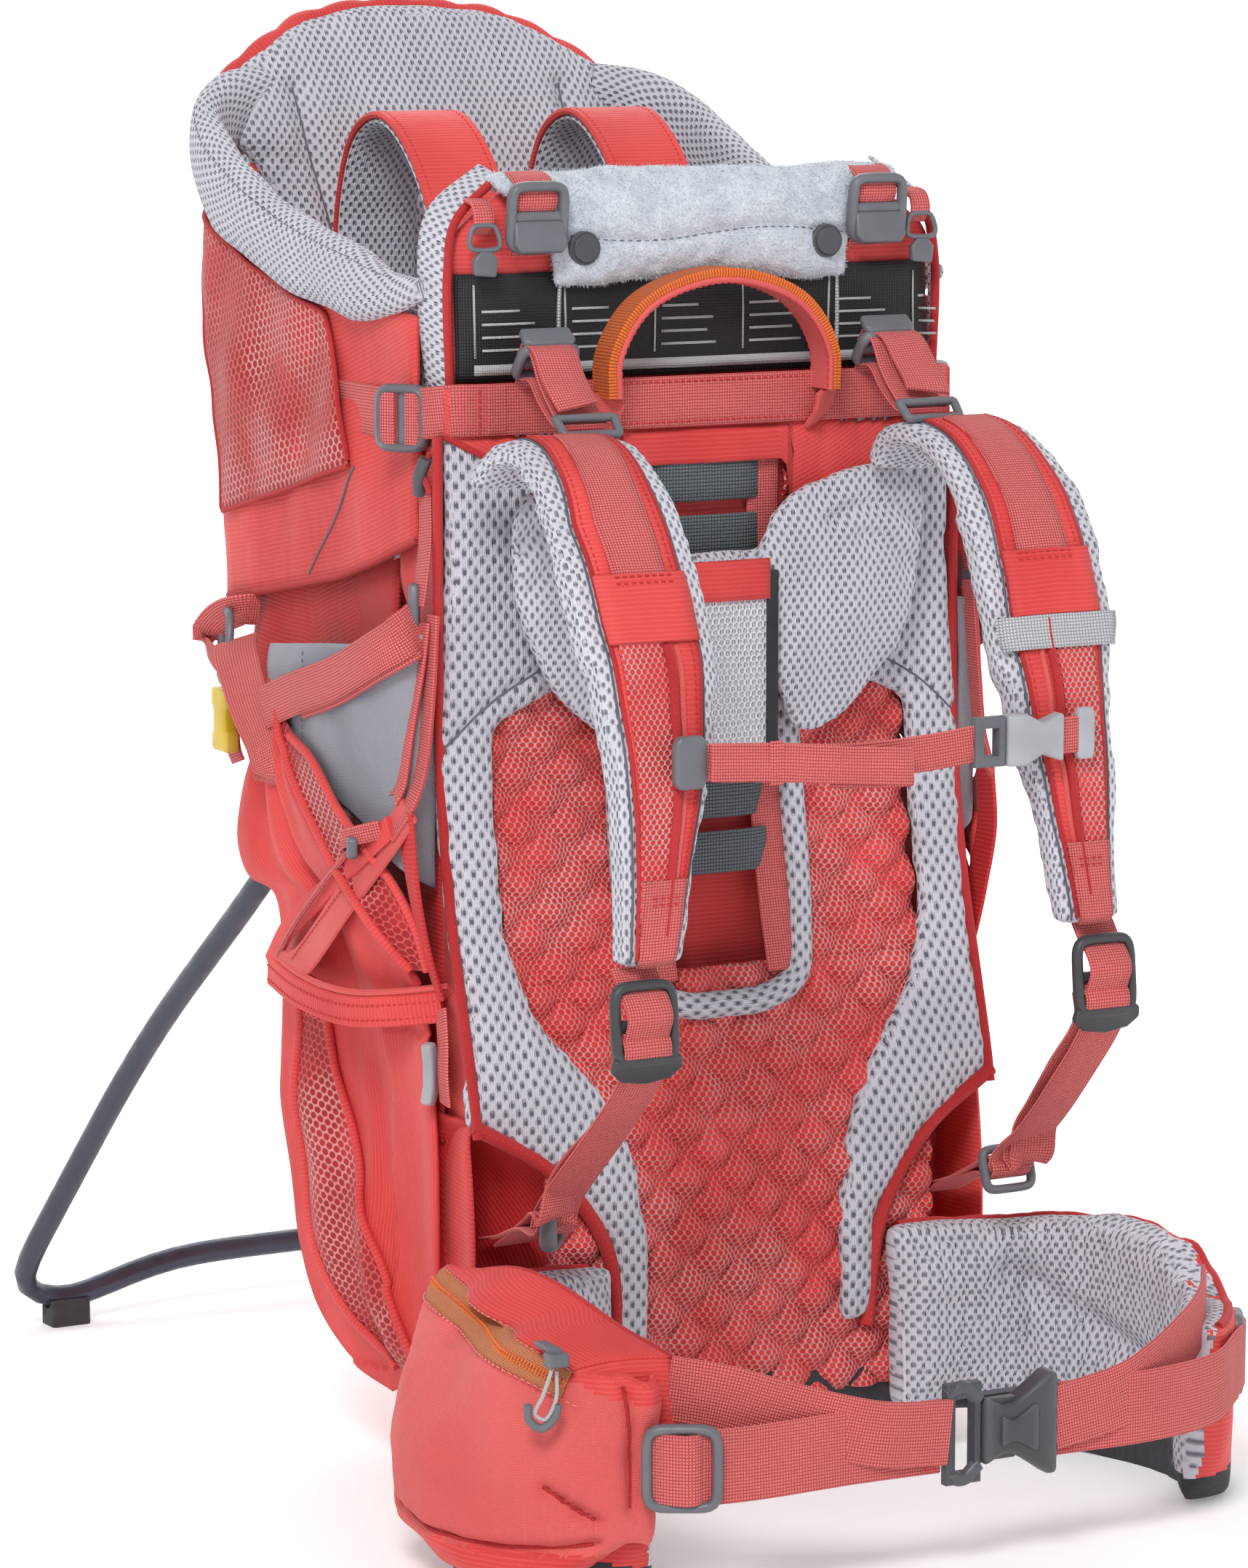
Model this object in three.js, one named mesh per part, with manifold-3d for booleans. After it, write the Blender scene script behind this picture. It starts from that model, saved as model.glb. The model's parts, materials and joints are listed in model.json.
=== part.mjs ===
// A framed child carrier backpack, in millimetres: +Z up, +X to the wearer's right as seen from the front,
// and +Y away from the wearer's back, towards the seated child.
// It stands on its hip fins and on the rubber feet of its open kickstand, and leans a little
// to the wearer's side.
import * as THREE from "three";
import { mergeVertices } from "three/addons/utils/BufferGeometryUtils.js";
import Module from "manifold-3d";

const wasm = await Module();
wasm.setup();

// ---- Driving dimensions -------------------------------------------------------------------------
// All are in the back panel's own frame: y is 0 at the face behind the wearer's shoulders, and the
// rubber feet of the stand reach down to z = 0.

const LEAN = (2.5 * Math.PI) / 180; // the back panel leans towards the wearer when the carrier stands
const FRAME_X = 118; // half the distance between the side tubes' centres
const FRAME_Y = 31; // the frame's plane, behind the back panel
const FRAME_TOP = 604;
const FRAME_BOTTOM = 61;
const FRAME_R = 7;
const BASE = { y: 34, bottom: 46, top: 74 }; // the bar that the side tubes end in
const FIT = 0.4; // radial gap of a tube in its socket

const STAND_R = 6.5;
const STAND_PIVOT = { x: 150, y: 42, z: 400 };
const STAND_FOOT = { x: 150, y: 455 };
const PIN_R = 4;
const PIN_GAP = 0.25;

const PANEL_HALF = 137; // the back panel's widest
const PANEL_TOP = 538;
const PAD = 9; // thickness of the side pads on the back panel
const SLOT_HALF = 46; // the open slot over the adjusting ladder
const SLOT_BOTTOM = 250;

const HEADBOARD = { half: 124, y: 10, depth: 10, bottom: 541, top: 636 };
const COCKPIT = { half: 139, wall: 10, front: 23, rear: 274 };
const WAIST = { half: 134, wall: 7, rear: 240, bottom: 296, top: 416 };
const COMPARTMENT = { half: 134, front: 52, top: 286 };

const WEBBING = 25;
const STRAP_FRONT = -161; // the wearer's side of the shoulder straps at chest height
const STERNUM = { x: 62, y: -170, z: 391 };

const FIN_THICK = 20;
const BELT = { y: -250, z: 95, height: 32, thick: 3 }; // the hip webbing where it meets the buckle
const BUCKLE_X = 3; // where the hip buckle's tongue meets its socket

// ---- Finishes -----------------------------------------------------------------------------------

const finish = (color, roughness, metalness = 0) =>
  new THREE.MeshStandardMaterial({ color, roughness, metalness });
const RED = finish(0xe0525a, 0.8);
const CORAL_WEBBING = finish(0xe8686c, 0.85);
const RED_MESH = finish(0xd8444a, 0.85);
const GREY_MESH = finish(0xc9cad2, 0.9);
const GREY_LINING = finish(0xb4b6c0, 0.8);
const PLUSH = finish(0xb9bec6, 0.95);
const DARK_FABRIC = finish(0x3c3d44, 0.85);
const ORANGE = finish(0xe8742c, 0.8);
const GREY_PLASTIC = finish(0x7c8088, 0.45);
const DARK_PLASTIC = finish(0x3c3e44, 0.45);
const YELLOW_PLASTIC = finish(0xe3c21c, 0.45);
const TUBE_PAINT = finish(0x5b606b, 0.4, 0.6);
const ALUMINIUM = finish(0xa8abb0, 0.4, 0.8);
const RUBBER = finish(0x2c2a30, 0.85);
const BOARD = finish(0x9fa3a8, 0.6);

// ---- Geometry helpers ---------------------------------------------------------------------------

// The plane of an outline and the way it is extruded: x takes (y, z), y takes (x, z) and z takes (x, y).
const basis = (...axes) => new THREE.Matrix4().makeBasis(...axes.map((v) => new THREE.Vector3(...v)));
const BASES = {
  x: basis([0, 1, 0], [0, 0, 1], [1, 0, 0]),
  y: basis([1, 0, 0], [0, 0, 1], [0, -1, 0]),
  z: basis([1, 0, 0], [0, 1, 0], [0, 0, 1]),
};

const vectors = (points) => points.map(([u, v]) => new THREE.Vector2(u, v));

// A smooth line through points in a plane, or in space.
const curveThrough = (points, closed = false) =>
  new THREE.CatmullRomCurve3(
    points.map(([u, v, w = 0]) => new THREE.Vector3(u, v, w)),
    closed,
    "centripetal",
  );

// A closed smooth outline through a few points.
function rounded(points, divisions = 24) {
  const curve = curveThrough(points, true);
  return curve.getPoints(divisions).slice(0, -1).map((p) => [p.x, p.y]);
}

// A band of constant thickness around an open smooth line, as a closed outline.
function band(points, thickness, divisions = 16) {
  const line = curveThrough(points);
  const near = [];
  const far = [];
  for (let i = 0; i <= divisions; i++) {
    const p = line.getPoint(i / divisions);
    const t = line.getTangent(i / divisions);
    near.push([p.x - (t.y * thickness) / 2, p.y + (t.x * thickness) / 2]);
    far.push([p.x + (t.y * thickness) / 2, p.y - (t.x * thickness) / 2]);
  }
  return [...near, ...far.reverse()];
}

// An outline extruded along an axis between two coordinates, with an optional bevel that stays inside it.
function slab(outline, axis, from, to, { bevel = 0, holes = [] } = {}) {
  const shape = new THREE.Shape(vectors(outline));
  for (const hole of holes) shape.holes.push(new THREE.Path(vectors(hole)));
  const geometry = new THREE.ExtrudeGeometry(shape, {
    depth: to - from - 2 * bevel,
    bevelEnabled: bevel > 0,
    bevelThickness: bevel,
    bevelSize: bevel,
    bevelOffset: -bevel,
    bevelSegments: 1,
  });
  geometry.translate(0, 0, (axis === "y" ? -to : from) + bevel);
  return geometry.applyMatrix4(BASES[axis]);
}

const rectangle = (u, v, width, height) => [
  [u - width / 2, v - height / 2],
  [u + width / 2, v - height / 2],
  [u + width / 2, v + height / 2],
  [u - width / 2, v + height / 2],
];

// A rectangle with its corners rounded by arcs.
function roundedBox(u, v, width, height, r, steps = 4) {
  const outline = [];
  [[1, 1], [-1, 1], [-1, -1], [1, -1]].forEach(([su, sv], corner) => {
    for (let i = 0; i <= steps; i++) {
      const angle = ((corner + i / steps) * Math.PI) / 2;
      const centre = [u + su * (width / 2 - r), v + sv * (height / 2 - r)];
      outline.push([centre[0] + r * Math.cos(angle), centre[1] + r * Math.sin(angle)]);
    }
  });
  return outline;
}

function block(cx, cy, cz, width, depth, height, bevel = 0) {
  return slab(rectangle(cx, cz, width, height), "y", cy - depth / 2, cy + depth / 2, { bevel });
}

function rod(axis, cx, cy, cz, radius, length, sides = 20) {
  const geometry = new THREE.CylinderGeometry(radius, radius, length, sides);
  if (axis === "x") geometry.rotateZ(-Math.PI / 2);
  if (axis === "z") geometry.rotateX(Math.PI / 2);
  return geometry.translate(cx, cy, cz);
}

// Straight runs joined by eased corners, each corner given with the length it takes from its runs.
function bent(corners) {
  const path = new THREE.CurvePath();
  const points = corners.map(([x, y, z]) => new THREE.Vector3(x, y, z));
  let last = points[0];
  for (let i = 1; i < points.length - 1; i++) {
    const ease = corners[i][3];
    const before = points[i].clone().add(points[i - 1].clone().sub(points[i]).setLength(ease));
    const after = points[i].clone().add(points[i + 1].clone().sub(points[i]).setLength(ease));
    path.add(new THREE.LineCurve3(last, before));
    path.add(new THREE.QuadraticBezierCurve3(before, points[i], after));
    last = after;
  }
  path.add(new THREE.LineCurve3(last, points.at(-1)));
  return path;
}

const swept = (section, extrudePath, steps, curveSegments) =>
  new THREE.ExtrudeGeometry(section, { steps, curveSegments, extrudePath, bevelEnabled: false });

function tube(path, radius, steps, sides = 12) {
  return swept(new THREE.Shape().absarc(0, 0, radius, 0, 2 * Math.PI, false), path, steps, sides);
}

function solid(geometry) {
  const bare = geometry.index ? geometry.toNonIndexed() : geometry.clone();
  for (const name of Object.keys(bare.attributes)) if (name !== "position") bare.deleteAttribute(name);
  const merged = mergeVertices(bare, 1e-3);
  return new wasm.Manifold(
    new wasm.Mesh({
      numProp: 3,
      vertProperties: merged.attributes.position.array,
      triVerts: new Uint32Array(merged.index.array),
    }),
  );
}

function surface(manifold) {
  const mesh = manifold.getMesh();
  const geometry = new THREE.BufferGeometry();
  geometry.setAttribute("position", new THREE.BufferAttribute(mesh.vertProperties, 3));
  geometry.setIndex(new THREE.BufferAttribute(mesh.triVerts, 1));
  return geometry;
}

const largest = (manifold) => manifold.decompose().reduce((a, b) => (a.volume() > b.volume() ? a : b));
const common = (a, ...others) => surface(others.reduce((s, o) => s.intersect(solid(o)), solid(a)));
const without = (a, ...others) => surface(others.reduce((s, o) => s.subtract(solid(o)), solid(a)));
const joined = (a, ...others) => surface(others.reduce((s, o) => s.add(solid(o)), solid(a)));

// ---- Frame and kickstand ------------------------------------------------------------------------

function frameTube() {
  const ease = 52;
  const path = bent([
    [-FRAME_X, FRAME_Y, FRAME_BOTTOM],
    [-FRAME_X, FRAME_Y, FRAME_TOP - FRAME_R, ease],
    [FRAME_X, FRAME_Y, FRAME_TOP - FRAME_R, ease],
    [FRAME_X, FRAME_Y, FRAME_BOTTOM],
  ]);
  return tube(path, FRAME_R, 30, 7);
}

function baseBar() {
  const { y, bottom, top } = BASE;
  const body = slab(roundedBox(0, y, 264, 32, 10), "z", bottom, top, { bevel: 2 });
  const socket = (x) => rod("z", x, FRAME_Y, FRAME_BOTTOM - 1 + 20, FRAME_R + FIT, 40);
  return without(body, socket(-FRAME_X), socket(FRAME_X));
}

function standBracket() {
  const { y, z } = STAND_PIVOT;
  const body = block(122, 39, z, 36, 35, 46, 3);
  return without(
    body,
    rod("z", FRAME_X, FRAME_Y, z, FRAME_R + FIT, 60),
    rod("x", 127.5 + 10, y, z, PIN_R + PIN_GAP, 20, 24),
  );
}

function standPath() {
  const { x, y, z } = STAND_PIVOT;
  const half = [
    [x, y - 9, z + 7],
    [x + 1, 178, 289, 60],
    [x + 7, 316, 184, 70],
    [x + 30, 464, 12, 34],
    [STAND_FOOT.x - 10, STAND_FOOT.y, 14, 12],
    [STAND_FOOT.x - 62, STAND_FOOT.y, 31, 26],
  ];
  const left = half.map(([px, py, pz, ease]) => [-px, py, pz, ease]);
  return bent([...left, ...half.reverse()]);
}

function kickstandTube() {
  const { x, y, z } = STAND_PIVOT;
  const hole = (sx) => rod("x", sx * x, y, z, PIN_R + PIN_GAP, 30, 24);
  return without(tube(standPath(), STAND_R, 56, 6), hole(1), hole(-1));
}

// Everything under the ground, which the leaning frame sees as a slope through the stand's feet.
function ground() {
  return new THREE.BoxGeometry(900, 1400, 200).translate(0, 0, -100).rotateX(-LEAN)
    .translate(0, STAND_FOOT.y, 0.2);
}

function standFoot() {
  const body = block(STAND_FOOT.x - 3, STAND_FOOT.y, 7, 22, 18, 16, 1.5);
  return without(body, tube(standPath(), STAND_R + 0.4, 56, 6), ground());
}

function standPin() {
  const { x, y, z } = STAND_PIVOT;
  const start = 128.5;
  const end = x + 10;
  const head = rod("x", end - 1, y, z, 6.5, 3, 24);
  return joined(rod("x", (start + end) / 2, y, z, PIN_R, end - start, 24), head);
}

// ---- Back panel ---------------------------------------------------------------------------------

// The panel's front face in side view, straight above and pushed forward at the lumbar.
const FACE = [[0, PANEL_TOP], [0, 400], [-2, 360], [-12, 300], [-26, 250], [-38, 205], [-45, 150], [-44, 84]];

function layer(front, back, top = PANEL_TOP, bottom = 78) {
  const line = curveThrough(FACE);
  const points = line.getPoints(18).map((p) => [p.x, p.y]).filter(([, z]) => z <= top && z >= bottom);
  const near = points.map(([y, z]) => [y + front, z]);
  const rear = typeof back === "number" ? (y) => y + back : () => back.flat;
  const far = points.map(([y, z]) => [rear(y), z]);
  return slab([...near.reverse(), ...far], "x", -180, 180);
}

// The outer edge of the back panel, from its top corner down to the waist of the lumbar pad.
const PANEL_EDGE = [[PANEL_HALF - 2, PANEL_TOP - 14], [PANEL_HALF, 380], [PANEL_HALF + 1, 260], [141, 205],
  [99, 178], [72, 140], [67, 90]];
// The line between the side pads and the open mesh between them.
const PAD_EDGE = [[50, 88], [50, 140], [56, 180], [70, 214], [96, 250], [108, 290], [107, 350], [104, 386]];

function backPad() {
  const upper = [[58, 410], [58, PANEL_TOP - 6], [96, PANEL_TOP - 2]];
  const outline = [...PANEL_EDGE, ...PAD_EDGE, ...upper];
  return common(layer(0, PAD), slab(outline, "y", -80, 30));
}

function backCore() {
  const wide = [[130, PANEL_TOP], [130, 215], [96, 172], [66, 138], [62, 84]];
  const mirror = wide.map(([x, z]) => [-x, z]).reverse();
  const slot = [[-SLOT_HALF, PANEL_TOP + 10], [-SLOT_HALF, SLOT_BOTTOM + 20], [-SLOT_HALF + 20, SLOT_BOTTOM],
    [SLOT_HALF - 20, SLOT_BOTTOM], [SLOT_HALF, SLOT_BOTTOM + 20], [SLOT_HALF, PANEL_TOP + 10]];
  return without(common(layer(PAD + 0.5, { flat: 17 }), slab([...wide, ...mirror], "y", -80, 30)),
    slab(slot, "y", -80, 30));
}

function backBoard() {
  const half = 110;
  return slab([[-half, 90], [-half + 14, 78], [half - 14, 78], [half, 90], [half, 520], [half - 14, 534],
    [-half + 14, 534], [-half, 520]], "y", 17.5, 20.5);
}

function crossBar() {
  return rod("x", 0, FRAME_Y, 470, 6, 2 * (FRAME_X - FRAME_R) - 1);
}

// The webbing ladder that the yoke hooks into: a strip with raised rungs.
function adjustLadder() {
  const rungs = [500, 471, 442, 413, 384, 355, 326].map((z) => block(0, 4.5, z, 60, 2, WEBBING - 3));
  return joined(block(0, 8, 398, 70, 6, 264), ...rungs);
}

function lumbarPad() {
  const side = [[-30, 50], [-38, 76], [10, 76], [10, 50]];
  return slab(side, "x", -64, 64, { bevel: 2 });
}

// ---- Top front panel ----------------------------------------------------------------------------

function headboard() {
  const { half, y, depth, bottom, top } = HEADBOARD;
  return slab([[-half, bottom], [half, bottom], [half, top - 22], [half - 26, top], [-half + 26, top],
    [-half, top - 22]], "y", y, y + depth, { bevel: 2 });
}

// A blank sign below the drool pad.
function signPanel() {
  const { half, y } = HEADBOARD;
  const side = [[half - 3, 548], [half - 3, 592], [half - 9, 598]];
  const outline = [...side, ...side.map(([x, z]) => [-x, z]).reverse()];
  return slab(outline, "y", y - 1.9, y - 0.4);
}

function droolPad() {
  const { y, depth, top } = HEADBOARD;
  const gap = 0.6;
  const front = y - 10;
  const behind = y - 2.4;
  const rear = y + depth;
  const profile = [[front, 590], [behind, 590], [behind, top + gap], [rear + gap, top + gap],
    [rear + gap, 606], [rear + 3, 606], [rear + 3, top + 5], [y + 3, top + 11], [front + 1, top + 5]];
  return slab(profile, "x", -80, 80);
}

function snapButton() {
  return joined(rod("y", 65, -1.9, 609, 8, 3), rod("y", 65, -4.2, 609, 6.5, 1.8));
}

// A webbing adjuster: a frame with two slots, flat in XZ, centred on the origin.
function ladderLock(width, height, thickness, bar = 5) {
  const wall = 3.5;
  const slotWidth = width - 2 * wall;
  const slotHeight = (height - 2 * wall - bar) / 2;
  const slotZ = (slotHeight + bar) / 2;
  const holes = [1, -1].map((side) => rectangle(0, side * slotZ, slotWidth, slotHeight));
  return slab(rectangle(0, 0, width, height), "y", -thickness / 2, thickness / 2, { bevel: 1, holes });
}

const topLock = () => ladderLock(32, 40, 5).rotateX(0.1).translate(91, -5, 624);
const lifterLock = () => ladderLock(32, 22, 4, 4).rotateX(0.7).translate(91, -13, 558);

function carryHandle() {
  const arch = band([[-59, 542], [-58, 560], [-40, 585], [0, 596], [40, 585], [58, 560], [59, 542]], 8, 20);
  return slab(arch, "y", -22, -4, { bevel: 1.5 });
}

// ---- Child's cockpit ----------------------------------------------------------------------------

// The cockpit in side view: its lower edge leaves the child's legs free, its upper edge carries the rim.
const COCKPIT_SIDE = [[COCKPIT.front, 474], [65, 460], [103, 449], [200, 432], [COCKPIT.rear, 424],
  [COCKPIT.rear, 642], [258, 632], [232, 614], [190, 598], [137, 583], [70, 573], [COCKPIT.front, 570]];

// The cockpit's plan, from the front edge of one side round the rear to the other.
function cockpitPlan(inset) {
  const { half, front, rear } = COCKPIT;
  const depth = rear - front;
  // An inset plan cuts the wall hollow, so it starts a little ahead of the wall.
  const start = inset ? front - 1 : front;
  const side = [[half, start], [half, 222], [135, 250], [118, 266], [80, 272], [40, rear]];
  const right = side.map(([x, y]) => [x - (inset * x) / half, y - inset * ((y - front) / depth) ** 2 * 1.02]);
  return [...right, ...right.map(([x, y]) => [-x, y]).reverse()];
}

function cockpitWall() {
  const shell = without(slab(cockpitPlan(0), "z", 300, 700), slab(cockpitPlan(COCKPIT.wall), "z", 290, 710));
  return common(shell, slab(COCKPIT_SIDE, "x", -200, 200));
}

function waistWall() {
  const { half, wall, rear, bottom, top } = WAIST;
  const plan = (inset, front) => [[-half + inset, front], [-half + inset, rear - 16],
    [-half + 16, rear - inset], [half - 16, rear - inset], [half - inset, rear - 16], [half - inset, front]];
  const side = [[104, bottom], [rear - 16, bottom], [rear, bottom + 50], [rear, top], [150, top], [112, 380]];
  return common(without(slab(plan(0, 104), "z", 280, 430), slab(plan(wall, 90), "z", 270, 440)),
    slab(side, "x", -200, 200));
}

function rimCushion() {
  const line = [[141, 24, 587], [142, 70, 590], [143, 137, 600], [143, 190, 616], [141, 232, 634],
    [136, 260, 652], [127, 279, 662]];
  const section = new THREE.Shape().absellipse(0, 0, 15, 12, 0, 2 * Math.PI, false);
  return swept(section, curveThrough(line), 16, 7);
}

function lowerCompartment() {
  const { half, front, top } = COMPARTMENT;
  const side = [[front, 64], [70, 62], [125, 72], [158, 92], [168, 120], [174, 170], [182, 228], [180, top],
    [front, top]];
  const plan = [[-half, front], [-half, 166], [-half + 14, 182], [half - 14, 182], [half, 166],
    [half, front]];
  return common(slab(side, "x", -half, half), slab(plan, "z", 50, 300));
}

// Hardware that lies flat against the carrier's side, with its bars upright.
const onSide = (lock, x, y, z) => lock.rotateY(Math.PI / 2).rotateZ(Math.PI / 2).translate(x, y, z);
const sideLock = () => onSide(ladderLock(32, 27, 4), 145, 27, 531);
const releaseBuckle = () => block(-149, 226, 364, 10, 24, 34, 2);
const lowerAnchor = () => ladderLock(30, 24, 4).rotateX(-0.3).translate(123, -80, 167);

// ---- Child's backrest, straps and seat ----------------------------------------------------------

function headrestPad() {
  // It leans back a little more towards its top.
  const side = band([[228, 448], [236, 540], [244, 600], [255, 650], [267, 682], [281, 720]], 14, 20);
  const right = [[92, 446], [96, 560], [98, 625], [114, 656], [113, 680], [86, 700], [44, 716]];
  const front = rounded([...right, ...right.map(([x, z]) => [-x, z]).reverse()], 44);
  return common(slab(side, "x", -130, 130), slab(front, "y", 150, 300));
}

function childStrap() {
  const line = [[224, 560], [220, 620], [202, 654], [174, 662], [142, 645], [114, 605], [98, 545], [92, 495]];
  const arch = band(line, 9, 20);
  return slab(arch, "x", 30, 76);
}

function seatBucket() {
  const section = [[-118, 408], [-118, 334], [-100, 314], [100, 314], [118, 334], [118, 408],
    [108, 408], [108, 342], [94, 326], [-94, 326], [-108, 342], [-108, 408]];
  const side = [[62, 332], [84, 312], [206, 312], [206, 408], [120, 408], [62, 362]];
  return common(slab(section, "y", 62, 206), slab(side, "x", -140, 140));
}

// ---- Wearer's harness ---------------------------------------------------------------------------

function yokePad() {
  const lobe = rounded([[25, 474], [26, 430], [36, 388], [50, 372], [75, 385], [100, 412], [115, 458],
    [113, 492], [92, 503], [66, 500], [42, 493]], 26);
  const right = slab(lobe, "y", -20, -9);
  const left = slab(lobe.map(([x, z]) => [-x, z]).reverse(), "y", -20, -9);
  return joined(block(0, -11.5, 432, 62, 5, 76), right, left);
}

function shoulderStrap() {
  const side = band([[-27, 500], [-32, 511], [-48, 519], [-74, 517], [-101, 500], [-126, 464], [-141, 422],
    [-150, 376], [-154, 330], [-155, 300]], 12, 24);
  const outer = [[132, 298], [132, 345], [136, 395], [142, 450], [143, 490], [137, 512], [122, 545]];
  const inner = [[74, 545], [73, 505], [71, 470], [69, 433], [76, 388], [90, 338], [100, 298]];
  return common(slab(side, "x", 20, 170), slab([...outer, ...inner], "y", -200, 0));
}

const strapAdjuster = () => ladderLock(34, 40, 5).rotateX(-0.1).translate(121, STRAP_FRONT - 5, 276);

// Side-release buckles: a flat socket open at one end, and a tongue with two prongs that enters it.
function buckleSocket(length, width, thickness, wall) {
  const body = block(length / 2, 0, 0, length, thickness, width, 1.5);
  const cavity = block(length / 2 - 6 - wall, 0, 0, length, thickness - 2 * wall, width - 4 * wall);
  return without(body, cavity, block(length - 6, 0, 0, 3, thickness + 2, width - 12));
}

function buckleTongue(base, width, prong, thickness) {
  const arm = (z) => block((prong - 1) / 2, 0, z, prong + 1, thickness, width * 0.13);
  const window = block(-base / 2, 0, 0, base - 8, 20, width - 10);
  return joined(
    without(block(-base / 2, 0, 0, base, thickness * 1.6, width, 1), window),
    arm(width * 0.24),
    arm(-width * 0.24),
  );
}

const sternumSocket = () => buckleSocket(30, 24, 10, 1.6).translate(STERNUM.x + 0.5, STERNUM.y, STERNUM.z);
const sternumTongue = () => buckleTongue(16, 23, 14, 4).translate(STERNUM.x, STERNUM.y, STERNUM.z);
const sternumStrap = () => block(-22, STERNUM.y, STERNUM.z, 134, 2.5, 17);

// ---- Hip belt -----------------------------------------------------------------------------------

// The right fin's middle line in plan, from behind the lumbar pad round to its front tip.
const FIN_LINE = [[76, -50], [112, -54], [148, -68], [174, -94], [184, -132], [178, -168], [160, -198],
  [142, -214]];

function hipFin() {
  const plan = band(FIN_LINE, FIN_THICK, 18);
  // Seen from the side, the fin is deepest at its middle and tapers to the strap.
  const side = [[-30, 134], [-90, 142], [-130, 138], [-175, 122], [-232, 114], [-232, 74], [-210, 36],
    [-190, 20], [-110, 20], [-84, 36], [-60, 44], [-30, 50]];
  return without(common(slab(plan, "z", -5, 160), slab(side, "x", 0, 260)), ground());
}

function hipPocket() {
  const outer = [[-120, -43], [-160, -52], [-198, -76], [-220, -112], [-224, -150], [-206, -192],
    [-176, -220], [-150, -230]];
  const inner = [[-140, -222], [-150, -200], [-120, -60]];
  const line = new THREE.SplineCurve(vectors(outer)).getPoints(14).map((p) => [p.x, p.y]);
  const side = [[-30, 122], [-80, 150], [-112, 151], [-180, 138], [-234, 126], [-234, 70], [-206, 38],
    [-176, 30], [-124, 34], [-84, 50], [-40, 66]];
  // Seen from the front its outer face leans in towards the top, where the zip runs.
  const front = [[-100, 160], [-184, 160], [-206, 140], [-224, 96], [-224, 58], [-206, 32], [-150, 26],
    [-100, 26]];
  const fin = slab(band(FIN_LINE.map(([x, y]) => [-x, y]), FIN_THICK + 0.8, 18), "z", -5, 170);
  const bag = common(
    slab([...line, ...inner], "z", 0, 160),
    slab(side, "x", -260, 0),
    slab(front, "y", -260, 0),
  );
  return surface(largest(solid(without(bag, fin))));
}

// Bars upright, its face turned about z by the given angle.
const beltLock = (turn, x, y) =>
  ladderLock(40, 25, 5, 6).rotateY(Math.PI / 2).rotateZ(turn).translate(x, y, BELT.z);
const hipLockRight = () => beltLock(1.03, 181.5, -190.5);
const hipLockLeft = () => beltLock(-0.5, -143, -242);
const hipSocket = () => buckleSocket(38, 48, 16, 2).translate(BUCKLE_X + 0.5, BELT.y, BELT.z);
const hipTongue = () => buckleTongue(18, 46, 18, 4).translate(BUCKLE_X, BELT.y, BELT.z);

function beltWebbing(line) {
  const { z, height, thick } = BELT;
  return slab(band(line, thick, 10), "z", z - height / 2, z + height / 2);
}

const hipStrapRight = () => beltWebbing([[43, BELT.y], [96, BELT.y], [138, -237], [171, -208]]);
const hipStrapLeft = () => beltWebbing([[-17, BELT.y], [-60, BELT.y], [-128, -248]]);

function zipSlider() {
  return joined(block(-190, -214, 143, 9, 9, 6, 1), block(-190, -206, 146.8, 5, 16, 2.4));
}

// ---- Stirrups -----------------------------------------------------------------------------------

// A sling for the child's foot that leaves the body at the front and passes outside the stand's leg.
function stirrup() {
  const plan = band([[168, 132], [171, 90], [166, 44], [154, 14], [139, -2]], 4, 16);
  return slab(plan, "z", 246, 268);
}

// ---- Assembly -----------------------------------------------------------------------------------

const carrier = new THREE.Group();
carrier.rotation.x = LEAN;

function add(name, geometry, material) {
  const mesh = new THREE.Mesh(geometry, material);
  mesh.name = name;
  carrier.add(mesh);
  return mesh;
}

// A right-hand piece and its mirror image on the left.
function addPair(name, geometry, material) {
  add(`${name}_right`, geometry, material);
  add(`${name}_left`, geometry, material).scale.x = -1;
}

add("frame_tube", frameTube(), ALUMINIUM);
add("cross_bar", crossBar(), ALUMINIUM);
add("base_bar", baseBar(), DARK_PLASTIC);
addPair("stand_bracket", standBracket(), DARK_PLASTIC);
add("kickstand_tube", kickstandTube(), TUBE_PAINT);
addPair("stand_foot", standFoot(), RUBBER);
addPair("stand_pin", standPin(), ALUMINIUM);

add("back_board", backBoard(), BOARD);
add("back_core", backCore(), RED_MESH);
addPair("back_pad", backPad(), GREY_MESH);
add("adjust_ladder", adjustLadder(), RED);
add("lumbar_pad", lumbarPad(), DARK_FABRIC);

add("headboard", headboard(), RED);
add("sign_panel", signPanel(), DARK_FABRIC);
add("drool_pad", droolPad(), PLUSH);
addPair("snap_button", snapButton(), DARK_PLASTIC);
addPair("top_lock", topLock(), GREY_PLASTIC);
addPair("lifter_lock", lifterLock(), GREY_PLASTIC);
add("carry_handle", carryHandle(), ORANGE);

add("cockpit_wall", cockpitWall(), RED);
add("waist_wall", waistWall(), RED);
addPair("rim_cushion", rimCushion(), GREY_MESH);
add("lower_compartment", lowerCompartment(), RED);
addPair("side_lock", sideLock(), GREY_PLASTIC);
add("side_release_buckle", releaseBuckle(), YELLOW_PLASTIC);
addPair("lower_anchor", lowerAnchor(), GREY_PLASTIC);
addPair("stirrup", stirrup(), RED);

add("headrest_pad", headrestPad(), GREY_MESH);
addPair("child_strap", childStrap(), RED);
add("seat_bucket", seatBucket(), GREY_LINING);

add("yoke_pad", yokePad(), GREY_MESH);
addPair("shoulder_strap", shoulderStrap(), GREY_MESH);
addPair("strap_adjuster", strapAdjuster(), DARK_PLASTIC);
add("sternum_socket", sternumSocket(), GREY_PLASTIC);
add("sternum_tongue", sternumTongue(), DARK_PLASTIC);
add("sternum_strap", sternumStrap(), CORAL_WEBBING);

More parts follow.
